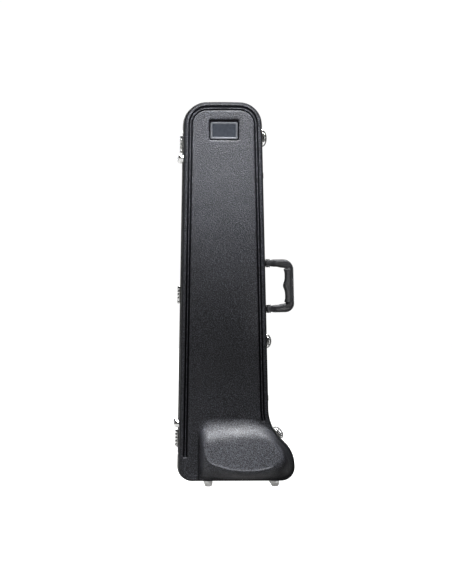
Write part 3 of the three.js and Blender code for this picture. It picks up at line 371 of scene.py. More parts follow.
def dress(obj, body, node, angle=40.0, bevel=0.0):
    """Bevels the edges, keeps the flats flat, and ties the piece to its body and CAD node."""
    active(obj)
    if bevel:
        bevel_edges(obj, bevel, 2, angle)
        bpy.ops.object.modifier_apply(modifier="edges")
    bpy.ops.object.shade_smooth_by_angle(angle=math.radians(angle))
    tie(obj, body, node)


def quads(rings, count, closed=False):
    """Faces between rings of count points, and from the last ring to the first if closed."""
    faces = []
    for r in range(rings if closed else rings - 1):
        a, b = r * count, (r + 1) % rings * count
        for i in range(count):
            j = (i + 1) % count
            faces.append([a + i, a + j, b + j, b + i])
    return faces


def turns(count):
    """Cosine and sine of equal steps round a circle."""
    angles = [2 * math.pi * k / count for k in range(count)]
    return [(math.cos(t), math.sin(t)) for t in angles]


def eased(low, high, c):
    """Rows of (inset, height) from low to high, with both edges softened by c."""
    rows = [(c, low), (c * 0.3, low + c * 0.3), (0, low + c)]
    return rows + [(0, high - c), (c * 0.3, high - c * 0.3), (c, high)]


class Build:
    """Collects closed solids of one piece in its own frame: u outward, v to the base, w along."""

    def __init__(self):
        self.verts, self.faces, self.index = [], [], []

    def add(self, verts, faces, material=0):
        base = len(self.verts)
        self.verts.extend([list(v) for v in verts])
        self.faces.extend([[base + i for i in f] for f in faces])
        self.index.extend([material] * len(faces))
        return self

    def drop_face(self, place):
        self.faces.pop(place)
        self.index.pop(place)

    def loft(self, rings, material=0, closed=False):
        count = len(rings[0])
        faces = quads(len(rings), count, closed)
        if not closed:
            faces.append(list(range(count))[::-1])
            faces.append([(len(rings) - 1) * count + i for i in range(count)])
        return self.add([p for ring in rings for p in ring], faces, material)

    def prism(self, outline, low, high, along="v", chamfer=0.35, material=0):
        """Outline of (a, b) pairs: along v they are (u, w), along w (u, v) and along u (v, w)."""
        points = np.asarray(outline, float)
        order = {"v": (0, 2, 1), "w": (0, 1, 2), "u": (2, 0, 1)}[along]

        def ring(inset, height):
            return [[(a, b, height)[i] for i in order] for a, b in shrink(points, inset)]

        rows = eased(low, high, min(chamfer, abs(high - low) / 3))
        return self.loft([ring(*row) for row in rows], material)

    def walls(self, outline, thick, lows, chamfer):
        """The same upright wall at each of the places along w."""
        for low in lows:
            self.prism(outline, low, low + thick, "w", chamfer)
        return self

    def lathe(self, profile, origin, axis="w", sides=32, material=0):
        """Profile of (radius, height) pairs, turned about an axis through origin."""
        rings = []
        for radius, height in profile:
            ring, radius = [], max(radius, 0.01)
            for c, s in turns(sides):
                a, b = radius * c, radius * s
                p = {"u": (height, a, b), "v": (b, height, a), "w": (a, b, height)}[axis]
                ring.append([p[i] + origin[i] for i in range(3)])
            rings.append(ring)
        return self.loft(rings, material)

    def pin(self, origin, axis, low, high, radius, round_off=0.3, sides=28, material=0):
        rows = eased(low, high, min(round_off, radius * 0.6))
        profile = [(radius - inset, height) for inset, height in rows]
        return self.lathe(profile, origin, axis, sides, material)

    def dome(self, origin, axis, radius, height, base=0.0):
        profile = [(radius, base)]
        for t in np.linspace(0.12, math.pi / 2, 7):
            profile.append((radius * math.cos(t), base + height * math.sin(t)))
        return self.lathe(profile, origin, axis, 20)

    def screws(self, spots, radius, height, base):
        """A domed head at each (v, w) spot of a plate."""
        for v, w in spots:
            self.dome((0, v, w), "u", radius, height, base)
        return self

    def tube(self, path, radius, sides=12, material=0, closed=False):
        points = [Vector(p) for p in path]
        count = len(points)
        rings, normal = [], None
        for i, point in enumerate(points):
            if closed:
                step = (points[(i + 1) % count] - points[i - 1]).normalized()
            else:
                step = (points[min(i + 1, count - 1)] - points[max(i - 1, 0)]).normalized()
            if normal is None:
                normal = step.orthogonal().normalized()
            normal = (normal - step * normal.dot(step)).normalized()
            other = step.cross(normal)
            rings.append([point + radius * (normal * c + other * s) for c, s in turns(sides)])
        return self.loft(rings, material, closed)

    def object(self, name, where, materials):
        return mesh_object(name, self.verts, self.faces, where, materials, self.index)

    def piece(
        self, name, where, body, node, materials=(NICKEL,), slot="nickel", angle=40.0, bevel=0.0
    ):
        dress(self.object(name, where, materials), body, node, angle, bevel)


def shrink(points, inset):
    """Moves each point of an outline inward by inset, along the mean of its sides' normals."""
    if not inset:
        return points
    before, after = np.roll(points, 1, 0), np.roll(points, -1, 0)
    area = 0.5 * np.sum(points[:, 0] * after[:, 1] - after[:, 0] * points[:, 1])
    into, out = points - before, after - points
    into /= np.maximum(np.linalg.norm(into, axis=1, keepdims=True), 1e-9)
    out /= np.maximum(np.linalg.norm(out, axis=1, keepdims=True), 1e-9)
    mean = into + out
    mean /= np.maximum(np.linalg.norm(mean, axis=1, keepdims=True), 1e-9)
    stretch = 1 / np.maximum(np.sum(mean * into, axis=1, keepdims=True), 0.5)
    inward = np.stack([-mean[:, 1], mean[:, 0]], 1) * (1 if area > 0 else -1)
    return points + inward * inset * stretch


def arc_points(x, y, radius, start, end, steps):
    angles = [math.radians(a) for a in np.linspace(start, end, steps)]
    return [(x + radius * math.cos(a), y + radius * math.sin(a)) for a in angles]


def rounded(left, right, low, high, radius, steps=6):
    r = min(radius, (right - left) / 2 - 0.01, (high - low) / 2 - 0.01)
    points = arc_points(right - r, low + r, r, -90, 0, steps + 1)
    points += arc_points(right - r, high - r, r, 0, 90, steps + 1)
    points += arc_points(left + r, high - r, r, 90, 180, steps + 1)
    return points + arc_points(left + r, low + r, r, 180, 270, steps + 1)


def ear(root, u, v, radius, steps):
    """Outline of a lug, from its root out to a round end about a pin at (u, v)."""
    low, high = v - radius, v + radius
    end = arc_points(u, v, radius, -84, 84, steps)
    return [(root, low), (u, low), *end, (u, high), (root, high)]


def smooth(low, high, x):
    """Rises softly from 0 at low to 1 at high."""
    t = np.clip((x - low) / (high - low), 0.0, 1.0)
    return t * t * (3 - 2 * t)


def fall(low, high, x):
    return 1 - smooth(low, high, x)


def band(x, a, b, c, d):
    """Rises from 0 to 1 between a and b, and falls again between c and d."""
    return smooth(a, b, x) * fall(c, d, x)


# -------- outline of the body
TOP, BOTTOM = 950.0, 12.0
# Each corner: x, z, how far its arc reaches along both sides, and the arc's steps.
CORNERS = [
    (0.0, BOTTOM, 35.0, 16),
    (15.6, TOP - 2.5, 60.0, 22),
    (15.6 + 193.7 / 2, TOP, 45.0, 4),
    (15.6 + 193.7, TOP - 2.5, 60.0, 22),
    (227.6, BOTTOM + 134.7, 42.0, 24),
    (292.0, BOTTOM + 70.3, 33.0, 20),
    (292.0, BOTTOM, 36.5, 18),
]


def inset_corners(corners, inset):
    made = []
    for i, (x, z, reach, steps) in enumerate(corners):
        bx, bz = corners[i - 1][:2]
        ax, az = corners[(i + 1) % len(corners)][:2]
        into = Vector((x - bx, z - bz)).normalized()
        out = Vector((ax - x, az - z)).normalized()
        run = math.tan(math.atan2(into.x * out.y - into.y * out.x, into.dot(out)) / 2)
        x += inset * (into.y + into.x * run)
        z += inset * (-into.x + into.y * run)
        made.append((x, z, max(reach + inset * run, 0.3), steps))
    return made


def trace(corners, shares=None):
    """Outline with exact arcs at its corners; shares gives extra points on each straight side."""
    count = len(corners)
    runs = []
    for i, (x, z, reach, steps) in enumerate(corners):
        before, after = corners[i - 1], corners[(i + 1) % count]
        into = Vector((x - before[0], z - before[1]))
        out = Vector((after[0] - x, after[1] - z))
        reach *= min(1.0, into.length / (reach + before[2]), out.length / (reach + after[2]))
        into.normalize(), out.normalize()
        weight = math.sqrt((1 + into.dot(out)) / 2)
        run = []
        for k in range(steps + 1):
            t = k / steps
            a, b = (1 - t) ** 2, t * t
            whole = a + 2 * t * (1 - t) * weight + b
            dx = (b * reach * out.x - a * reach * into.x) / whole
            dz = (b * reach * out.y - a * reach * into.y) / whole
            run.append((x + dx, z + dz))
        runs.append(run)
    points = []
    for i, run in enumerate(runs):
        points += run
        if shares:
            (ax, az), (bx, bz) = run[-1], runs[(i + 1) % count][0]
            points += [(ax + (bx - ax) * t, az + (bz - az) * t) for t in shares[i]]
    return np.array(points)


def side_shares():
    """Extra points on the straight sides, closer together where the relief changes."""
    arcs = trace(CORNERS)
    starts = np.cumsum([0] + [c[3] + 1 for c in CORNERS])
    shares = []
    for i in range(len(CORNERS)):
        a, b = arcs[starts[i + 1] - 1], arcs[starts[i + 1] % len(arcs)]
        length = float(np.linalg.norm(b - a))
        made, s = [], 0.0
        while True:
            x, z = a + (b - a) * s / length
            gap = 5.0
            if i == 0 and abs(z - 74) < 14 or i == 3 and abs(z - 163) < 30:
                gap = 1.2
            elif i >= 3 and z < 190:
                gap = 2.2
            if i == 6:
                gap = 1.2 if 48 < x < 84 else 2.4
            s += gap
            if s > length - gap * 0.6:
                break
            made.append(s / length)
        shares.append(made)
    return shares


SHARES = side_shares()
OUTLINE = trace(CORNERS)


def body_ring(inset):
    return trace(inset_corners(CORNERS, inset), SHARES)


def distance(points, outline):
    best = np.full(len(points), 1e9)
    for a, b in zip(outline, np.roll(outline, -1, 0)):
        run = b - a
        square = float(run @ run)
        if square < 1e-12:
            continue
        t = np.clip(((points - a) @ run) / square, 0, 1)
        best = np.minimum(best, np.hypot(*(points - a - t[:, None] * run).T))
    return best


def inside(points, outline):
    odd = np.zeros(len(points), bool)
    x, z = points.T
    for (ax, az), (bx, bz) in zip(outline, np.roll(outline, -1, 0)):
        if az == bz:
            continue
        crosses = (az > z) != (bz > z)
        odd ^= crosses & (x < ax + (z - az) * (bx - ax) / (bz - az))
    return odd


# -------- relief of the faces
FACE, WALL_TOP, SHOULDER = 62.0, 53.0, 9.0
BOOT_FROM, BOOT_TO = 50.0, 118.0
RIM_HEIGHT, RIM_WIDTH = 2.3, 3.0


def boot_outlines():
    inner = inset_corners(CORNERS, 3.2)
    neck, flare, low = inner[4], inner[5], inner[6]
    left, top = 52.0, BOTTOM + 155.5
    steps = [4, 14, 6, 10, 18, 18, 14]
    root = [
        (left, low[1], 3.2),
        (left, top, 22.0),
        (left + 134.5, top, 14.0),
        (neck[0], neck[1], 14.0),
        (flare[0], flare[1], 33.0),
        (low[0], low[1], 33.3),
        (162.0, low[1], 64.0),
    ]
    left, right = 65.0, 257.0
    plateau = [
        (left, BOTTOM + 54, 26.0),
        (left, BOTTOM + 90, 14.0),
        (left + 90, BOTTOM + 108, 20.0),
        (left + 159, BOTTOM + 118, 20.0),
        (right, BOTTOM + 72, 18.0),
        (right, BOTTOM + 47, 18.0),
        (162.0, BOTTOM + 18, 76.0),
    ]
    between = [[k / 8 for k in range(1, 8)]] * 7
    return [trace([(*c, n) for c, n in zip(rows, steps)], between) for rows in (root, plateau)]


ROOT, PLATEAU = boot_outlines()


def plateau_depth(z):
    """The plateau leans back from the bell's rim to its neck, more towards the neck."""
    rise = np.maximum(z - 45.0, 0.0)
    return BOOT_TO - 2.4 - 0.25 * rise - 0.0004 * rise * rise


def boot_tree():
    """The drafted sides of the boot, from its root in to its plateau, for looking up depths."""
    shares = np.linspace(0, 1, 30)
    top = plateau_depth(PLATEAU[:, 1])
    verts = []
    for share in shares:
        ring = ROOT + (PLATEAU - ROOT) * share
        rise = 0.45 * smooth(0, 1, share) + 0.55 * (1 - (1 - share) ** 1.6)
        for (x, z), end in zip(ring, top):
            verts.append(Vector((x, BOOT_FROM + (end - BOOT_FROM) * rise, z)))
    return BVHTree.FromPolygons(verts, quads(len(shares), len(ROOT)))


def blurred(field, sigma):
    reach = int(sigma * 3)
    weights = np.exp(-0.5 * (np.arange(-reach, reach + 1) / sigma) ** 2)
    weights /= weights.sum()

    def blur_row(row):
        return np.convolve(np.pad(row, reach, "edge"), weights, "valid")

    for axis in (0, 1):
        field = np.apply_along_axis(blur_row, axis, field)
    return field


FIELD_X, FIELD_Z = np.arange(20.0, 306.0), np.arange(-6.0, 226.0)


def boot_field():
    """Depths of the boot on a 1 mm grid: its upper corners are soft, its bell rim is crisp."""
    sides = boot_tree()
    gx, gz = np.meshgrid(FIELD_X, FIELD_Z, indexing="ij")
    p = np.column_stack([gx.ravel(), gz.ravel()])
    in_root, on_plateau = inside(p, ROOT), inside(p, PLATEAU)
    height = BOOT_FROM - distance(p, ROOT) * 1.5
    for i in np.nonzero(in_root & ~on_plateau)[0]:
        hit = sides.ray_cast(Vector((p[i, 0], 200.0, p[i, 1])), Vector((0, -1, 0)))[0]
        height[i] = hit.y if hit else BOOT_FROM
    rim = RIM_HEIGHT * np.exp(-((distance(p, PLATEAU) / RIM_WIDTH) ** 2))
    rim *= fall(58, 88, p[:, 1]) * fall(215, 248, p[:, 0])
    height = np.where(on_plateau, plateau_depth(p[:, 1]) + rim, height).reshape(gx.shape)
    crisp, soft = blurred(height, 1.0), blurred(height, 7.5)
    share = smooth(62, 112, gz) * smooth(52, 84, gx) * (1 - 0.4 * smooth(205, 240, gx))
    share = np.maximum(share, 0.9 * smooth(222, 248, gx) * smooth(34, 54, gz))
    return crisp + (soft - crisp) * share


BOOT = boot_field()


def boot_height(p):
    """Depth of the boot between the points of its grid."""
    x = np.clip(p[:, 0] - FIELD_X[0], 0, len(FIELD_X) - 1.001)
    z = np.clip(p[:, 1] - FIELD_Z[0], 0, len(FIELD_Z) - 1.001)
    i, j = x.astype(int), z.astype(int)
    x, z = x - i, z - j
    low = BOOT[i, j] * (1 - x) + BOOT[i + 1, j] * x
    return low * (1 - z) + (BOOT[i, j + 1] * (1 - x) + BOOT[i + 1, j + 1] * x) * z


GROOVES = (14.5, 21.1)
GROOVE_DEPTH, RIDGE_DROP, PANEL_BEVEL = 3.4, 0.6, 0.6
PIPS, PIP_HEIGHT = ((17.2, 70.4), (209.2, 159.4)), 2.0


def both_grooves(g, core, edge):
    """1 within core of the middle of a groove, 0 from edge on."""
    return sum(fall(core, edge, np.abs(g - middle)) for middle in GROOVES)


def groove_place(p, d):
    """Distance from the edge that the grooves go by: over the top they are further in."""
    over = np.interp(d, [0.0, 7.5, 11.6, 18.7, 20.7, 60.0], [0.0, 7.5, 12.2, 16.8, 18.8, 58.1])
    return d + (over - d) * smooth(890.0, 940.0, p[:, 1])


def groove_legs(p):
    """0 below the ends of the grooves, which stop higher on the side of the boot."""
    return np.where(p[:, 0] < 145, smooth(72.5, 75.5, p[:, 1]), smooth(161.5, 164.5, p[:, 1]))


def pip_rise(p, spot, spread):
    return np.exp(-((p[:, 0] - spot[0]) ** 2 + (p[:, 1] - spot[1]) ** 2) / spread)


def sheet_wave(x, z):
    """The slight unevenness of the moulded sheet."""
    return noise.noise((x * 0.012, z * 0.009, 3.1)) + 0.4 * noise.noise((x * 0.035, z * 0.03, 9.7))


def relief(p):
    """Depth of the face from the parting plane at points of the case's outline plane."""
    d = distance(p, OUTLINE)
    t = np.clip((12.0 - d) / SHOULDER, 0, 1)
    face = WALL_TOP + SHOULDER * np.sqrt(np.maximum(1 - t * t, 0))
    g = groove_place(p, d)
    drop = GROOVE_DEPTH * both_grooves(g, 1.3, 2.5)
    drop += RIDGE_DROP * band(g, 13.7, 15.1, 20.5, 21.9)
    drop += PANEL_BEVEL * band(g, 12.0, 22.2, 22.7, 26.2)
    face = face - groove_legs(p) * drop
    boot = boot_height(p)
    soft = 2.5 + 16.0 * smooth(100.0, 150.0, p[:, 1]) * smooth(48.0, 85.0, p[:, 0])
    mix = np.maximum(soft - np.abs(face - boot), 0) / soft
    height = np.maximum(face, boot) + mix * mix * soft / 4
    for spot in PIPS:
        height = height + PIP_HEIGHT * pip_rise(p, spot, 4.5)
    wave = np.array([sheet_wave(x, z) for x, z in p])
    return np.minimum(height + 0.28 * wave * smooth(26.0, 40.0, d), BOOT_TO)


BADGE_X, BADGE_Z = 114.4, TOP - 72.8
BADGE_W, BADGE_H, BADGE_R, BADGE_DEPTH = 73.5, 51.7, 6.0, 5.0
LIP_DEPTH, LIP_WIDTH = 0.9, 3.0


def badge_outline(grow):
    """Outline of the badge's recess, grown by so much."""
    w, h = BADGE_W / 2 + grow, BADGE_H / 2 + grow
    corner = max(BADGE_R + grow, 0.6)
    return np.array(rounded(BADGE_X - w, BADGE_X + w, BADGE_Z - h, BADGE_Z + h, corner, 8))


def filled(outline, inner_rings, loose):
    """Triangles over an outline, through the points of inner rings and loose points."""
    points = [Vector(p) for p in outline]
    edges = [(i, (i + 1) % len(outline)) for i in range(len(outline))]
    for ring in inner_rings:
        base = len(points)
        points += [Vector(p) for p in ring]
        edges += [(base + i, base + (i + 1) % len(ring)) for i in range(len(ring))]
    points += [Vector(p) for p in loose]
    made = geometry.delaunay_2d_cdt(points, edges, [], 1, 1e-5)
    return np.array([tuple(v) for v in made[0]]), made[2]


def dense(outline, gap):
    """The outline with more points, about a gap apart."""
    made = []
    for a, b in zip(outline, np.roll(outline, -1, 0)):
        count = max(1, round(float(np.linalg.norm(b - a)) / gap))
        made += [a + (b - a) * k / count for k in range(count)]
    return np.array(made)


def grid(left, right, low, high, gap):
    rows = []
    for k, z in enumerate(np.arange(low, high, gap * 0.866)):
        for x in np.arange(left + (gap / 2 if k % 2 else 0), right, gap):
            rows.append((x, z))
    return np.array(rows)


def read(rows, field):
    """The x, y and z of every row."""
    made = np.zeros(len(rows) * 3)
    rows.foreach_get(field, made)
    return made.reshape(-1, 3)


def on_plan(co):
    """Points of a mesh, in metres, as points of the case's outline plane, in mm."""
    return co[:, [0, 2]] / MM - CASE[[0, 2]]


def grain_and_painted_light_mask(mesh):
    """Marks where the moulded grain stops: in the grooves, on the rim's shoulder, on the walls. The
    same mask sets the colour and the specular level, so it also carries painted shade and painted
    highlights.
    """
    co = read(mesh.vertices, "co")
    p = on_plan(co)
    x, z = p.T
    d = distance(p, OUTLINE)
    g = groove_place(p, d)
    # No grain on the rim's shoulder; the mask, and with it the colour, rises from painted shade at
    # the outer edge to a painted highlight on the bead.
    grain = smooth(3.4, 7.6, d - 4.0 * smooth(900.0, 945.0, z))
    # The grooves have no grain and are painted dark: painted shade in them.
    grain *= 1 - groove_legs(p) * np.clip(both_grooves(g, 1.5, 2.5), 0, 1)
    # The boot is painted brighter than the panel, and its plateau brighter still, less so to the
    # right: painted highlights.
    edge = distance(p, PLATEAU)
    in_root, on_plateau = inside(p, ROOT), inside(p, PLATEAU)
    out = edge * ~on_plateau
    wear_and_highlight = smooth(-5.0, 5.0, np.where(on_plateau, edge, -edge))
    wear_and_highlight *= 1 - 0.5 * smooth(180.0, 235.0, x)
    grain *= 0.68 + 0.17 * in_root + 0.15 * wear_and_highlight
    # Painted highlights on the ridge between the grooves and, over the top, on the panel's edge.
    grain *= 1 + 0.35 * band(g, 15.8, 17.0, 18.6, 19.8)
    grain *= 1 + 0.3 * band(g, 22.2, 23.4, 24.8, 26.6) * smooth(890.0, 940.0, z)
    # The boot's steep flank and end are smoother and painted darker as shade; painted shade also
    # marks the crease at its left foot.
    grain *= 1 - 0.65 * smooth(0.5, 6.0, out) * smooth(225.0, 255.0, x) * fall(112.0, 142.0, z)
    grain *= 1 - 0.35 * smooth(1.0, 6.0, out) * fall(30.0, 60.0, z) * in_root
    grain *= 1 - np.exp(-(((x - 52.0) / 1.8) ** 2)) * fall(105.0, 135.0, z)
    grain = np.where(np.abs(co[:, 1]) < (WALL_TOP - 2) * MM, 0.45, grain)
    # Full mask on the pips: a painted highlight on them.
    for spot in PIPS:
        grain = np.maximum(grain, pip_rise(p, spot, 5.0))
    # No mask in the badge recess: painted shade in it.
    grain *= ~(inside(p, badge_outline(0.1)) & (co[:, 1] < 0))
    values = mesh.attributes.new("grain", "FLOAT", "POINT").data
    values.foreach_set("value", grain.astype(np.float32))


# The skin's side wall as (inset, depth) rows, then the insets of the rings over its rim.
WALL_ROWS = [(1.9, 4.9), (2.05, 12.4), (2.5, 30.0), (2.9, 48.0), (3.0, WALL_TOP)]
RIM_INSETS = [3.14, 3.7, 4.7, 6.0, 7.5, 9.0, 10.5, 11.6]
RIM_INSETS += [*np.arange(12.1, 26.0, 0.38), 26.6, 27.6, 28.8]


def shell(side, name, body, node, badge):
    """Outer skin of a half: side wall, shoulder, grooved rim, panel, boot and badge recess."""
    rings = [(body_ring(inset), depth) for inset, depth in WALL_ROWS]
    rings = [(ring, np.full(len(ring), depth)) for ring, depth in rings]
    rings += [(ring, relief(ring)) for ring in map(body_ring, RIM_INSETS)]
    verts = [np.column_stack([ring[:, 0], side * depth, ring[:, 1]]) for ring, depth in rings]
    faces = quads(len(verts), len(verts[0]))
    edge = rings[-1][0]
    loose = np.concatenate([grid(20, 285, 195, 930, 6.0), grid(20, 285, 30, 195, 2.1)])
    loose = loose[distance(loose, PLATEAU) > 5.5]
    near = [shrink(dense(PLATEAU, 2.0), k) for k in np.arange(-5.0, 5.1, 1.0)]
    loose = np.concatenate([loose, *near])
    keep = inside(loose, edge) & (distance(loose, edge) > 1.4)
    inner = []
    if badge:
        inner = [badge_outline(grow) for grow in (3.2, 2.2, 1.2, 0.5, 0.12, -0.2, -0.5, -0.9)]
        keep &= ~(inside(loose, inner[0]) | (distance(loose, inner[0]) < 2.0))
    loose = loose[keep]
    if badge:
        seat = grid(BADGE_X - 40, BADGE_X + 40, BADGE_Z - 30, BADGE_Z + 30, 5.0)
        seat = seat[inside(seat, inner[-1]) & (distance(seat, inner[-1]) > 2)]
        loose = np.concatenate([loose, seat])
    flat, triangles = filled(edge, inner, loose)
    height = relief(flat)
    if badge:
        within = inside(flat, badge_outline(0.0))
        d = distance(flat, badge_outline(0))
        out = np.where(within, -d, d)
        drop = BADGE_DEPTH * fall(-0.75, 0.15, out)
        drop += LIP_DEPTH * fall(0.0, LIP_WIDTH, out) * (out > 0)
        lowered = np.where(within, FACE - drop, height - drop * (out > 0))
        height = np.where(out < 3.2, lowered, height)
    base = sum(len(v) for v in verts)
    verts.append(np.column_stack([flat[:, 0], side * height, flat[:, 1]]))
    faces += [[base + i for i in f] for f in triangles]
    obj = mesh_object(name, np.concatenate(verts), faces, WORLD, [SHELL], None, False)
    edit(obj, lambda: bpy.ops.mesh.remove_doubles(threshold=0.00002))
    edit(obj, lambda: bpy.ops.mesh.normals_make_consistent(inside=False))
    if sum(p.normal.y * p.area for p in obj.data.polygons) * side < 0:
        edit(obj, lambda: bpy.ops.mesh.flip_normals())
    grain_and_painted_light_mask(obj.data)
    tie(obj, body, node)


shell(-1, "lid_shell_skin", "lid", "lid_shell", True)
shell(1, "base_shell_skin", "base", "base_shell", False)


# -------- valances
def valance(side, name, body, node, web, half, tip):
    """Closing frame of a half: a channel round the rim, with a tongue or a groove on it."""
    edge, ease, low, high = 0.3, 0.08, 0.15, 12
    wall, inner, wide, middle = 1.6, 5.4, 7, 3.5
    rows = [(edge, low), (ease, low + ease), (0, low + edge), (0, high - edge)]
    rows += [(ease, high - ease), (edge, high), (wall - edge, high), (wall, high - edge)]
    rows += [(wall, web), (inner, web), (inner, high - edge), (inner + edge, high)]
    rows += [(wide - edge, high), (wide, high - edge), (wide, low + edge), (wide - edge, low)]
    rows += [(middle + half, low), (middle + half - 0.2, tip)]
    rows += [(middle - half + 0.2, tip), (middle - half, low)]
    rings = [[(x, side * y, z) for x, z in body_ring(inset)] for inset, y in rows]
    Build().loft(rings, 0, True).piece(name, WORLD, body, node, [VALANCE], "valance_metal")


valance(1, "base_valance_frame", "base", "base_valance", 2.45, 0.7, -1.9)
valance(-1, "lid_valance_frame", "lid", "lid_valance", 4.6, 1.2, 2.4)


# -------- linings
def lining(node, name, body, seed):
    """Foam blocks under plush: the cut edges rounded, the pile pushed about a little."""
    obj = add(name, frame["nodes"][node].data.copy())
    obj.data.materials.clear()
    obj.data.materials.append(PLUSH)
    active(obj)
    modify(obj, "remesh", "REMESH", mode="VOXEL", voxel_size=0.0032)
    bpy.ops.object.modifier_apply(modifier="remesh")
    modify(obj, "soften", "SMOOTH", factor=0.5, iterations=3)
    bpy.ops.object.modifier_apply(modifier="soften")
    mesh = obj.data
    co, normal = read(mesh.vertices, "co"), read(mesh.vertex_normals, "vector")

    def puff(x, y, z):
        lumps, pile = (x * 28 + seed, y * 28, z * 28), (x * 90, y * 90 + seed, z * 90)
        return noise.noise(lumps) + 0.5 * noise.noise(pile)

    co += normal * ((np.array([puff(*point) for point in co]) * 0.5 - 0.7) * 0.0009)[:, None]
    outer = np.nonzero(np.abs(co[:, 1]) > 0.03)[0]
    roof = relief(on_plan(co[outer])) * MM - 0.0028
    co[outer, 1] = np.sign(co[outer, 1]) * np.minimum(np.abs(co[outer, 1]), roof)
    mesh.vertices.foreach_set("co", co.ravel())
    mesh.polygons.foreach_set("use_smooth", [True] * len(mesh.polygons))
    mesh.update()
    tie(obj, body, node)


lining("base_lining", "base_plush", "base", 2.7)
lining("lid_lining", "lid_plush", "lid", 8.3)


# -------- badge, tray, cradle, slide buttons
def badge():
    """Dark satin field in a narrow raised border, with nothing on it."""
    top, under = -59.5, -57.3
    left, right = BADGE_X - 33.25, BADGE_X + 33.25
    low, high = BADGE_Z - 22.3, BADGE_Z + 18.9

    def ring(inset, y):
        corner = max(3.0 - inset, 0.8)
        flat = rounded(left + inset, right - inset, low + inset, high - inset, corner)
        return [(a, y, b) for a, b in flat]

    border = [(0.2, under), (0, under - 0.3), (0, top + 0.5), (0.25, top + 0.12), (0.8, top)]
    border += [(3.5, top), (3.8, top + 0.12), (4.9, top + 0.9)]
    field = [(4.9, top + 0.9), (5.2, top + 0.95), (8.0, top + 0.95)]
    build = Build().loft([ring(*row) for row in border])
    build.drop_face(-1)
    build.loft([ring(*row) for row in field], 1)
    build.drop_face(-2)
    obj = build.object("badge_panel", WORLD, [BORDER, FIELD])
    edit(obj, lambda: bpy.ops.mesh.remove_doubles(threshold=0.00001))
    dress(obj, "lid", "badge_plate")


badge()

for node in ("accessory_tray", "mouthpiece_cradle"):
    obj = frame["nodes"][node]
    obj.data.materials.clear()
    obj.data.materials.append(TRAY)
    bevel_edges(obj, 0.7, 3, 40)


def button(which, name):
    """Turn button with a pressed pad at each end."""
    node = "slide_button_" + which
    low, high, middle = box_mm(node)
    build = Build().prism(rounded(-46, 46, -8, 8, 8, 10), low[1], high[1], "v", 1.2)
    for left in (-38, 14):
        pad = rounded(left, left + 24, -4, 4, 4, 8)
        build.prism(pad, high[1] - 0.4, high[1] + 0.25, "v", 0.2)
    where = place_matrix((middle[0], 0, middle[2]))
    build.piece(name, where, node, node, [TRAY], "tray_plastic", 35.0)


button("lower", "turn_button_low")
button("upper", "turn_button_high")

for which in ("lower", "upper"):
    low, high, middle = box_mm("slide_post_" + which)
    spot = (middle[0], 0, middle[2])
    build = Build().pin(spot, "v", low[1], high[1] - 7.5, 5.0, 0.4)
    build.pin(spot, "v", high[1] - 8.5, high[1] - 1.0, 2.3, 0.1)
    head = [(4.6, 0.0), (5.0, 0.3), (5.0, 0.9), (4.2, 1.45), (2.0, 1.6), (1.4, 1.1), (0.0, 1.1)]
    build.lathe(head, (middle[0], high[1] - 1.6, middle[2]), "v", 32)
    build.piece("turn_post_" + which, place_matrix((0, 0, 0)), "lid", "slide_post_" + which)


# -------- hinges
SHEET = (0.3, 1.5)  # under and upper side of a pressed plate, from the case's edge outward
SPINE = Vector(joints["lid_swing"]["axis"]).normalized()
HINGE_HALF, HINGE_GAP, HINGE_AXIS = 21.0, 0.4, 3.5


def hinge_leaf(where, name, body, node, side):
    """Leaf with rounded corners, its knuckles and three screws."""
    build = Build()
    outline = [(3.4, -HINGE_HALF), (9.0, -HINGE_HALF)]
    outline += arc_points(9.0, -HINGE_HALF + 2.5, 2.5, -90, 0, 6)
    outline += arc_points(9.0, HINGE_HALF - 2.5, 2.5, 0, 90, 6) + [(3.4, HINGE_HALF)]
    build.prism([(side * a, b) for a, b in outline], *SHEET, "u", 0.25)
    length = (2 * HINGE_HALF - 4 * HINGE_GAP) / 5
    wrap = [(0.3, 0.0), (0.3, side * 4.2), (1.5, side * 4.2), (2.2, side * 2.6), (2.2, 0.0)]
    for i in range(0 if side > 0 else 1, 5, 2):
        low = -HINGE_HALF + i * (length + HINGE_GAP)
        build.pin((HINGE_AXIS, 0, 0), "w", low, low + length, 3.2, 0.35, 32)
        build.prism(wrap, low + 0.15, low + length - 0.15, "w", 0.1)
    for w in (-14.5, 0.0, 14.5):
        build.dome((0, side * 7.6, w), "u", 1.9, 0.75, 1.45)
        build.pin((0, side * 7.6, w), "u", 1.4, 1.62, 2.3, 0.1, 24)
    build.piece(name, where, body, node, bevel=0.12)


def axle(origin, half, radius, round_off, dome_height, tail):
    """Pin with a domed head at one end and a riveted tail at the other."""
    u, v = origin
    sunk, brim, root = tail
    build = Build().pin((u, v, 0), "w", -half, half, radius, round_off)
    build.dome((u, v, half - sunk), "w", 1.9, dome_height)
    profile = [(0.01, -half - 0.5), (1.2, -half - 0.4), (1.9, brim - half), (1.9, root - half)]
    return build.lathe(profile, (u, v, 0), "w", 20)


for which in ("lower", "middle", "upper"):
    where = edge_frame(SPINE, box_mm("hinge_pin_" + which)[2], HINGE_AXIS)
    hinge_leaf(where, "hinge_base_" + which, "base", "hinge_leaf_base_" + which, 1)
    hinge_leaf(where, "hinge_lid_" + which, "lid", "hinge_leaf_lid_" + which, -1)
    build = axle((HINGE_AXIS, 0), HINGE_HALF, 1.3, 0.3, 0.6, (0.1, 0.1, 0.2))
    build.piece("hinge_axle_" + which, where, "base", "hinge_pin_" + which)


# -------- latches
LEVER_PIN, BAIL_PIN, BAIL_NOSE = (6.0, 9.0), (4.6, 17.0), (5.4, -5.5)
COVER_BASE, COVER_RISE, COVER_WALL = 1.8, 11.5, 1.5


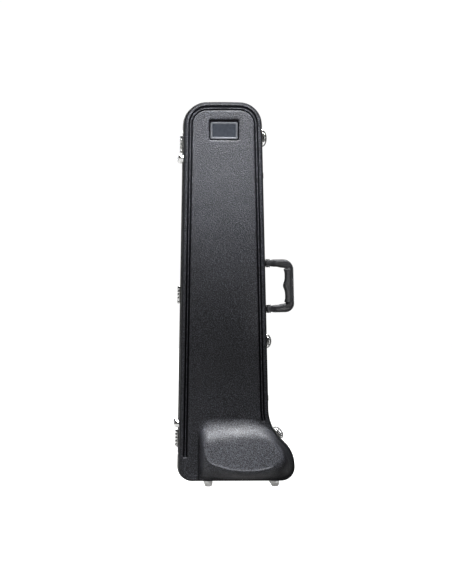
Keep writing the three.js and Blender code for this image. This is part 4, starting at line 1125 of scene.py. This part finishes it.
def latch_mount(which, where, half):
    build = Build().prism(rounded(2, 35, -half, half, 2.6, 5), *SHEET, "u", 0.25)
    build.prism(rounded(12.3, 34.8, -half + 0.3, half - 0.3, 2.4, 4), -1.6, 0.5, "u", 0.1)
    build.walls(ear(1.0, *LEVER_PIN, 2.3, 12), 1.2, (-4.2, 3.0), 0.2)
    build.screws([(v, w) for v in (28.5, 5.2) for w in (4.5 - half, half - 4.5)], 1.9, 0.7, 1.45)
    build.piece("latch_mount_" + which, where, "base", "latch_plate_" + which)


def latch_cover(which, where, half):
    """Lever: an arched cover with two ribs to its pins and a rolled finger edge."""

    def arch(share, y):
        ring = []
        for wall, start, end in ((0.0, 0.0, math.pi), (COVER_WALL, math.pi, 0.0)):
            rise, reach = COVER_RISE * share - wall, half * share - wall
            for t in np.linspace(start, end, 28):
                ring.append((COVER_BASE + rise * math.sin(t), y, reach * math.cos(t)))
        return ring

    stations = [(0.93, 19.5), (0.965, 19.75), (0.988, 20.3), (1, 21.2)]
    stations += [(1, 35.2), (0.988, 36.2), (0.965, 36.75), (0.93, 37.0)]
    build = Build().loft([arch(*station) for station in stations])
    rib = [(6.0, 6.7)] + arc_points(*LEVER_PIN, 2.3, -60, 40, 6)
    rib += [(11.2, 19.6), (11.2, 21.0), (4.6, 21.0)] + arc_points(*BAIL_PIN, 2.3, 120, 250, 8)
    rib += arc_points(*LEVER_PIN, 2.3, 170, 262, 5)
    build.walls(rib, 1.6, (-6.6, 5.0), 0.2)
    build.prism(rounded(34.5, 40.0, -half / 2, half / 2, 2.4, 6), 10.3, 11.8, "u", 0.35)
    edge = [(11.3, 39.2, -half / 2 + 2), (11.4, 39.35, 0), (11.3, 39.2, half / 2 - 2)]
    build.tube(edge, 0.65, 10)
    build.piece("latch_cover_" + which, where, "lever_" + which, "latch_lever_" + which, angle=42.0)


def latch_loop(which, where):
    """Wire bail: out of the lever, down to the keeper, across its nose and back."""
    (u, v), (nose_u, nose_v) = BAIL_PIN, BAIL_NOSE
    leg = Vector((nose_u - u, nose_v - v)).normalized()
    path = [(u, v, -5.3), (u, v, -7.2)]
    for a in np.linspace(0.15, 1.0, 7) * math.pi / 2:
        bend = 2.4 * (1 - math.cos(a))
        path.append((u + leg.x * bend, v + leg.y * bend, -7.6 - 2.4 * math.sin(a)))
    for a in np.linspace(0.0, 1.0, 8) * math.pi / 2:
        bend = 3 * (1 - math.sin(a))
        path.append((nose_u - leg.x * bend, nose_v - leg.y * bend, -10.0 + 3 * (1 - math.cos(a))))
    path += [(a, b, -c) for a, b, c in reversed(path)]
    build = Build().tube(path, 1.1, 14)
    build.piece("latch_loop_" + which, where, "bail_" + which, "latch_bail_" + which, angle=60.0)


def latch_catch(which, where):
    """Keeper: a plate with two screws and the lip that the bail's nose lies on."""
    build = Build().prism(rounded(-11.5, -2.0, -12.0, 12.0, 2.0, 5), *SHEET, "u", 0.25)
    lip = [(0.8, -6.5), (3.2, -6.5)] + arc_points(3.2, -5.6, 0.8, -80, 60, 8)
    build.prism(lip + [(3.6, -4.5), (0.8, -4.5)], -9.0, 9.0, "w", 0.25)
    build.screws([(-8.9, -7.5), (-8.9, 7.5)], 1.7, 0.7, 1.45)
    build.piece("latch_catch_" + which, where, "lid", "latch_keeper_" + which)


for which, half in (("bell", 17.5), ("middle", 17.5), ("top", 21.0)):
    joint = joints[f"latch_{which}_lever"]
    where = edge_frame(-Vector(joint["axis"]), Vector(joint["pos_m"]) / MM, *LEVER_PIN)
    latch_mount(which, where, half - 3)
    latch_cover(which, where, half)
    build = axle(LEVER_PIN, 6.6, 1.3, 0.25, 0.55, (0.05, 0.0, 0.1))
    build.piece("latch_axle_" + which, where, "base", "latch_pin_" + which)
    latch_loop(which, where)
    latch_catch(which, where)


# -------- handle
PIN_U, ARM_W, GRIP_END, MOUNT_SUNK = 7.6, 57.0, 42.2, 2.2
swing = joints["handle_swing"]
HANDLE = edge_frame(swing["axis"], Vector(swing["pos_m"]) / MM, PIN_U)


def handle_piece(build, name, node, materials, angle=45.0):
    build.piece(name, HANDLE, "handle", node, materials, "handle_rubber", angle)


def handle_lines():
    """Outer and inner edge of the handle, point by point from the lower arm to the upper one."""

    def arm(radius):
        outer = [(11.0, -63.6), (13.0, -64.4), (16.0, -65.2), (20.0, -66.0), (25.0, -66.5)]
        outer += [(u, -66.5) for u in np.linspace(29.0, 70.8 - radius, 6)]
        outer += arc_points(72.8 - radius, radius - 66.5, radius, -88, 0, 14)
        inner = [(11.0, -50.4), (13.0, -49.6), (16.0, -48.8), (20.0, -48.1), (25.0, -47.6)]
        inner += [(u, -47.6 + 3.0 * smooth(28, 46, u)) for u in np.linspace(29.0, 45.0, 6)]
        inner += arc_points(46.0, -33.5, 11.0, -84, 0, 14)
        return outer, inner

    low_outer, low_inner = arm(22.0)
    high_outer, high_inner = arm(27.0)
    rise = np.linspace(0, 1, 17)[1:-1]
    bar = [(72.8, -44.5 + 84.0 * t) for t in rise]
    outer = low_outer + bar + [(u, -w) for u, w in high_outer[::-1]]
    bar = [(57.0, -33.5 + 67.0 * t) for t in rise]
    inner = low_inner + bar + [(u, -w) for u, w in high_inner[::-1]]
    return np.array(outer), np.array(inner)


def section(outer, inner, thick, around, power=2.7):
    """Rounded section between an outer and an inner point."""
    middle, arm = (outer + inner) / 2, (outer - inner) / 2
    points = []
    for turn in turns(around):
        c, s = (math.copysign(abs(x) ** (2 / power), x) for x in turn)
        spot = middle + arm * c
        points.append((spot[0], thick * s, spot[1]))
    return points


def handle_body():
    """Strap from one eye round to the other, an eye on each pin, a ring round each arm's root."""
    rings = []
    for outer, inner in zip(*handle_lines()):
        middle = (outer[0] + inner[0]) / 2
        thick = np.interp(middle, [11, 20, 28, 52, 64], [5.6, 7.4, 10.6, 10.6, 9.4])
        rings.append(section(outer, inner, float(thick), 36))
    build = Build().loft(rings)
    for arm in (-ARM_W, ARM_W):
        low, high = arm - 6.8, arm + 6.8
        build.pin((PIN_U, 0, 0), "w", low, high, 5.4, 0.8, 36, 1)
        neck = [(7.0, -5.2), (12.5, -5.2), (12.5, 5.2), (7.0, 5.2)]
        build.prism(neck, low + 0.2, high - 0.2, "w", 0.8, 1)
        ring = [(13.1, 6.6 * c, arm + 10.2 * s) for c, s in turns(32)]
        build.tube(ring, 0.75, 8, 2, True)
    handle_piece(build, "handle_body", "handle_frame", [STRAP, GRIP, HARD])


def handle_grip():
    """Sleeve with a palm swell and tucked ends."""
    rings = []
    ends = [-42.2, -42.0, -41.3, -40.0, -38.0]
    for w in [*ends, *np.linspace(-36, 36, 37), *(-w for w in ends[::-1])]:
        pull = 1 - 0.16 * max(0.0, 1 - (GRIP_END - abs(w)) / 1.6) ** 2
        palm = 50.6 - 4.7 * math.exp(-((w / 10.5) ** 2)) - 1.9 * float(smooth(31, 40, abs(w)))
        middle, half = (68.8 + palm) / 2, (68.8 - palm) / 2 * pull
        outer, inner = np.array([middle + half, w]), np.array([middle - half, w])
        rings.append(section(outer, inner, 11.4 * pull, 40, 2.6))
    handle_piece(Build().loft(rings), "handle_grip", "handle_grip_sleeve", [GRIP])


def handle_stitches():
    build = Build()
    stitch = ((7.4, 0.0), (8.0, 0.3), (8.15, 1.1), (8.0, 1.9), (7.4, 2.2))
    for side in (-1, 1):
        for w in np.arange(-40.0, 38.0, 3.3):
            build.tube([(70.2, side * v, w + step) for v, step in stitch], 0.4, 6)
    handle_piece(build, "handle_stitches", None, [THREAD], 60.0)


handle_body()
handle_grip()
handle_stitches()

for which, arm in (("lower", -ARM_W), ("upper", ARM_W)):
    turn, origin = HANDLE
    where = (turn, origin + np.array([0, 0, arm]) @ turn)
    plate = rounded(-12, 12, -22, 22, 5.0, 7)
    build = Build().prism(plate, -MOUNT_SUNK, 2.5 - MOUNT_SUNK, "u", 0.6)
    pad = rounded(-9.5, 9.5, -19.5, 19.5, 3.5, 6)
    build.prism(pad, 2.2 - MOUNT_SUNK, 3.1 - MOUNT_SUNK, "u", 0.4)
    build.walls(ear(1 - MOUNT_SUNK, PIN_U, 0.0, 4.6, 14), 2.4, (-9.5, 7.1), 0.35)
    node = "handle_plate_" + which
    build.piece("handle_mount_" + which, where, "base", node, [HARD], "handle_rubber", 38.0)
    build = Build().screws([(0, -15.2), (0, 15.2)], 2.6, 1.1, 3.0 - MOUNT_SUNK)
    build.pin((PIN_U, 0, 0), "w", -9.5, 9.5, 2.4)
    for low in (-10.3, 9.4):
        build.pin((PIN_U, 0, 0), "w", low, low + 0.9, 3.2)
    build.piece("handle_axle_" + which, where, "base", "handle_pin_" + which)


# -------- feet, studs, staples
def foot_profile(radius, rise, rim=2.4, tip=4.0):
    """Domed foot on a straight rim, with a recessed rivet in its flat tip."""
    points = [(radius - 0.5, 0.0), (radius, 0.4), (radius, rim - 0.5), (radius - 0.15, rim)]
    for a in np.linspace(0.12, 0.93, 10) * math.pi / 2:
        out = tip + (radius - tip) * math.cos(a) ** 0.62
        points.append((out, rim + (rise - rim) * math.sin(a) ** 1.05))
    points += [(tip + 0.2, rise - 0.05), (tip - 0.6, rise), (2.2, rise)]
    return points + [(2.0, rise - 0.5), (0.4, rise - 0.5)]


def dome_foot(name, node, body, down):
    low, high, middle = box_mm(node)
    if down:
        rise = high[2] - low[2]
        spot = (middle[0], middle[1], high[2])
        where = place_matrix(spot, (0, 0, -1), (0, 1, 0), (1, 0, 0))
    else:
        rise = high[0] - low[0] - 0.3
        where = edge_frame(SPINE, (high[0] - 0.2, middle[1], middle[2]))
    profile = foot_profile((high[1] - low[1]) / 2, rise)
    Build().lathe(profile, (0, 0, 0), "u", 48).piece(name, where, body, node, angle=35.0)


for half in ("lid", "base"):
    for spot in ("spine", "flare"):
        dome_foot(f"glide_{half}_{spot}", f"foot_{half}_{spot}", half, True)
    for spot in ("lower", "upper"):
        dome_foot(f"bumper_{half}_{spot}", f"spine_foot_{half}_{spot}", half, False)

STUD = [(2.6, 0.0), (3.0, 0.2), (3.0, 0.9), (2.6, 1.7), (1.6, 2.3), (0.2, 2.5)]

for which in ("lower", "upper"):
    node = "spine_stud_" + which
    low, high, middle = box_mm(node)
    where = edge_frame(SPINE, (high[0], middle[1], middle[2]))
    Build().lathe(STUD, (0, 0, 0), "u", 28).piece("rivet_" + which, where, "lid", node, angle=35.0)

    node = "strap_staple_" + which
    w = Vector(swing["axis"]).normalized()
    u = Vector((0, 1, 0)).cross(w)
    reach = max(Vector(v.co).dot(u) for v in frame["nodes"][node].data.vertices) / MM
    spot = Vector(box_mm(node)[2])
    where = edge_frame(w, spot + u * (reach - 5.0 - spot.dot(u)))
    build = Build().prism(rounded(-6, 6, -18, 18, 5.0, 7), 0.0, 1.2, "u", 0.3)
    build.screws([(0, -13.8), (0, 13.8)], 2.1, 0.8, 1.15)
    path = [(1.0, -8.0), (2.4, -8.0), (3.4, -7.6), (4.0, -6.6), (4.2, -5.2)]
    path += [(4.2, 0)] + [(a, -c) for a, c in reversed(path)]
    for v in (-1.6, 0.0, 1.6):
        build.tube([(a, v, c) for a, c in path], 0.8, 10)
    build.piece("strap_loop_" + which, where, "base", node)


# -------- floor and light
def by_ray(tree, seen, others, target):
    """Joins two shaders: one for what the camera sees directly, one for all other rays."""
    rays = tree.nodes.new("ShaderNodeLightPath")
    choose = tree.nodes.new("ShaderNodeMixShader")
    tree.links.new(rays.outputs["Is Camera Ray"], choose.inputs["Fac"])
    tree.links.new(others, choose.inputs[1])
    tree.links.new(seen, choose.inputs[2])
    tree.links.new(choose.outputs[0], target)


def floor():
    """White paper sweep that runs into the white behind the case; its glow fades to the right."""
    mesh = bpy.data.meshes.new("floor")
    s = 12.0
    mesh.from_pydata([(-s, -s, 0), (s, -s, 0), (s, s, 0), (-s, s, 0)], [], [(0, 1, 2, 3)])
    m = Mat("floor_paper", (0.14, 0.14, 0.14), 0.9)
    m.tint(m.noise(3.0, 3.0), (0.2, (0.135, 0.135, 0.135)), (0.8, (0.145, 0.145, 0.145)))
    fill(m.shader, Emission_Color=(1.0, 1.0, 1.0, 1.0))
    across = m.node("SeparateXYZ")
    m.link(m.place, across.inputs[0])
    falling = m.range(across.outputs[0], -0.45, 0.45, 0.74, 0.08)
    m.link(falling, m.shader.inputs["Emission Strength"])
    glow = fill(m.node("Emission"), Strength=1.0)
    both = m.node("AddShader")
    m.link(m.shader.outputs[0], both.inputs[0])
    m.link(glow.outputs[0], both.inputs[1])
    surface = m.tree.nodes["Material Output"].inputs["Surface"]
    by_ray(m.tree, both.outputs[0], m.shader.outputs[0], surface)
    mesh.materials.append(m.material)
    add("floor", mesh)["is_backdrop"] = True


def studio():
    world = bpy.data.worlds.new("studio")
    bpy.context.scene.world = world
    world.use_nodes = True
    tree = world.node_tree
    back = fill(tree.nodes["Background"], Color=(1.0, 1.0, 1.0, 1.0), Strength=1.02)
    soft = tree.nodes.new("ShaderNodeBackground")
    fill(soft, Color=(0.93, 0.96, 1.0, 1.0), Strength=0.05)
    by_ray(tree, back.outputs[0], soft.outputs[0], tree.nodes["World Output"].inputs["Surface"])


floor()
studio()

WHITE, CLEAR, COOL = (1.0, 1.0, 1.0), (0.96, 0.98, 1.0), (0.955, 0.97, 1.0)
# Each softbox: name, place, target, width, height, watts, spread in degrees, colour.
LIGHTS = [
    ("overhead", (-0.03, -0.18, 2.6), (-0.03, -0.12, 0.2), 1.3, 0.24, 190.0, 180.0, COOL),
    ("front", (-0.03, -1.25, 1.75), (-0.03, -0.06, 0.85), 0.4, 0.3, 2.08, 20.0, COOL),
    ("low_front", (-0.05, -1.0, 1.2), (-0.03, -0.12, 0.05), 0.3, 0.2, 0.21, 14.0, COOL),
    ("handle_front", (0.14, -1.1, 0.12), (0.135, 0.0, 0.46), 0.12, 0.12, 0.045, 10.0, WHITE),
    ("left", (-1.9, 0.3, 1.1), (0.0, 0.0, 0.5), 0.5, 1.4, 9.0, 180.0, CLEAR),
    ("right", (1.9, 0.3, 1.1), (0.0, 0.0, 0.5), 0.8, 1.4, 4.0, 180.0, CLEAR),
    ("back", (0.3, 1.6, 1.8), (0.0, 0.0, 0.6), 1.6, 0.8, 30.0, 180.0, WHITE),
]
for name, place, target, width, height, power, spread, color in LIGHTS:
    data = bpy.data.lights.new(name, "AREA")
    data.shape = "RECTANGLE"
    data.size, data.size_y = width, height
    data.energy, data.spread, data.color = power, math.radians(spread), color
    point_at(add(name, data), place, target)

view = bpy.context.scene.view_settings
view.view_transform, view.look = "Standard", "None"

low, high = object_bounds()
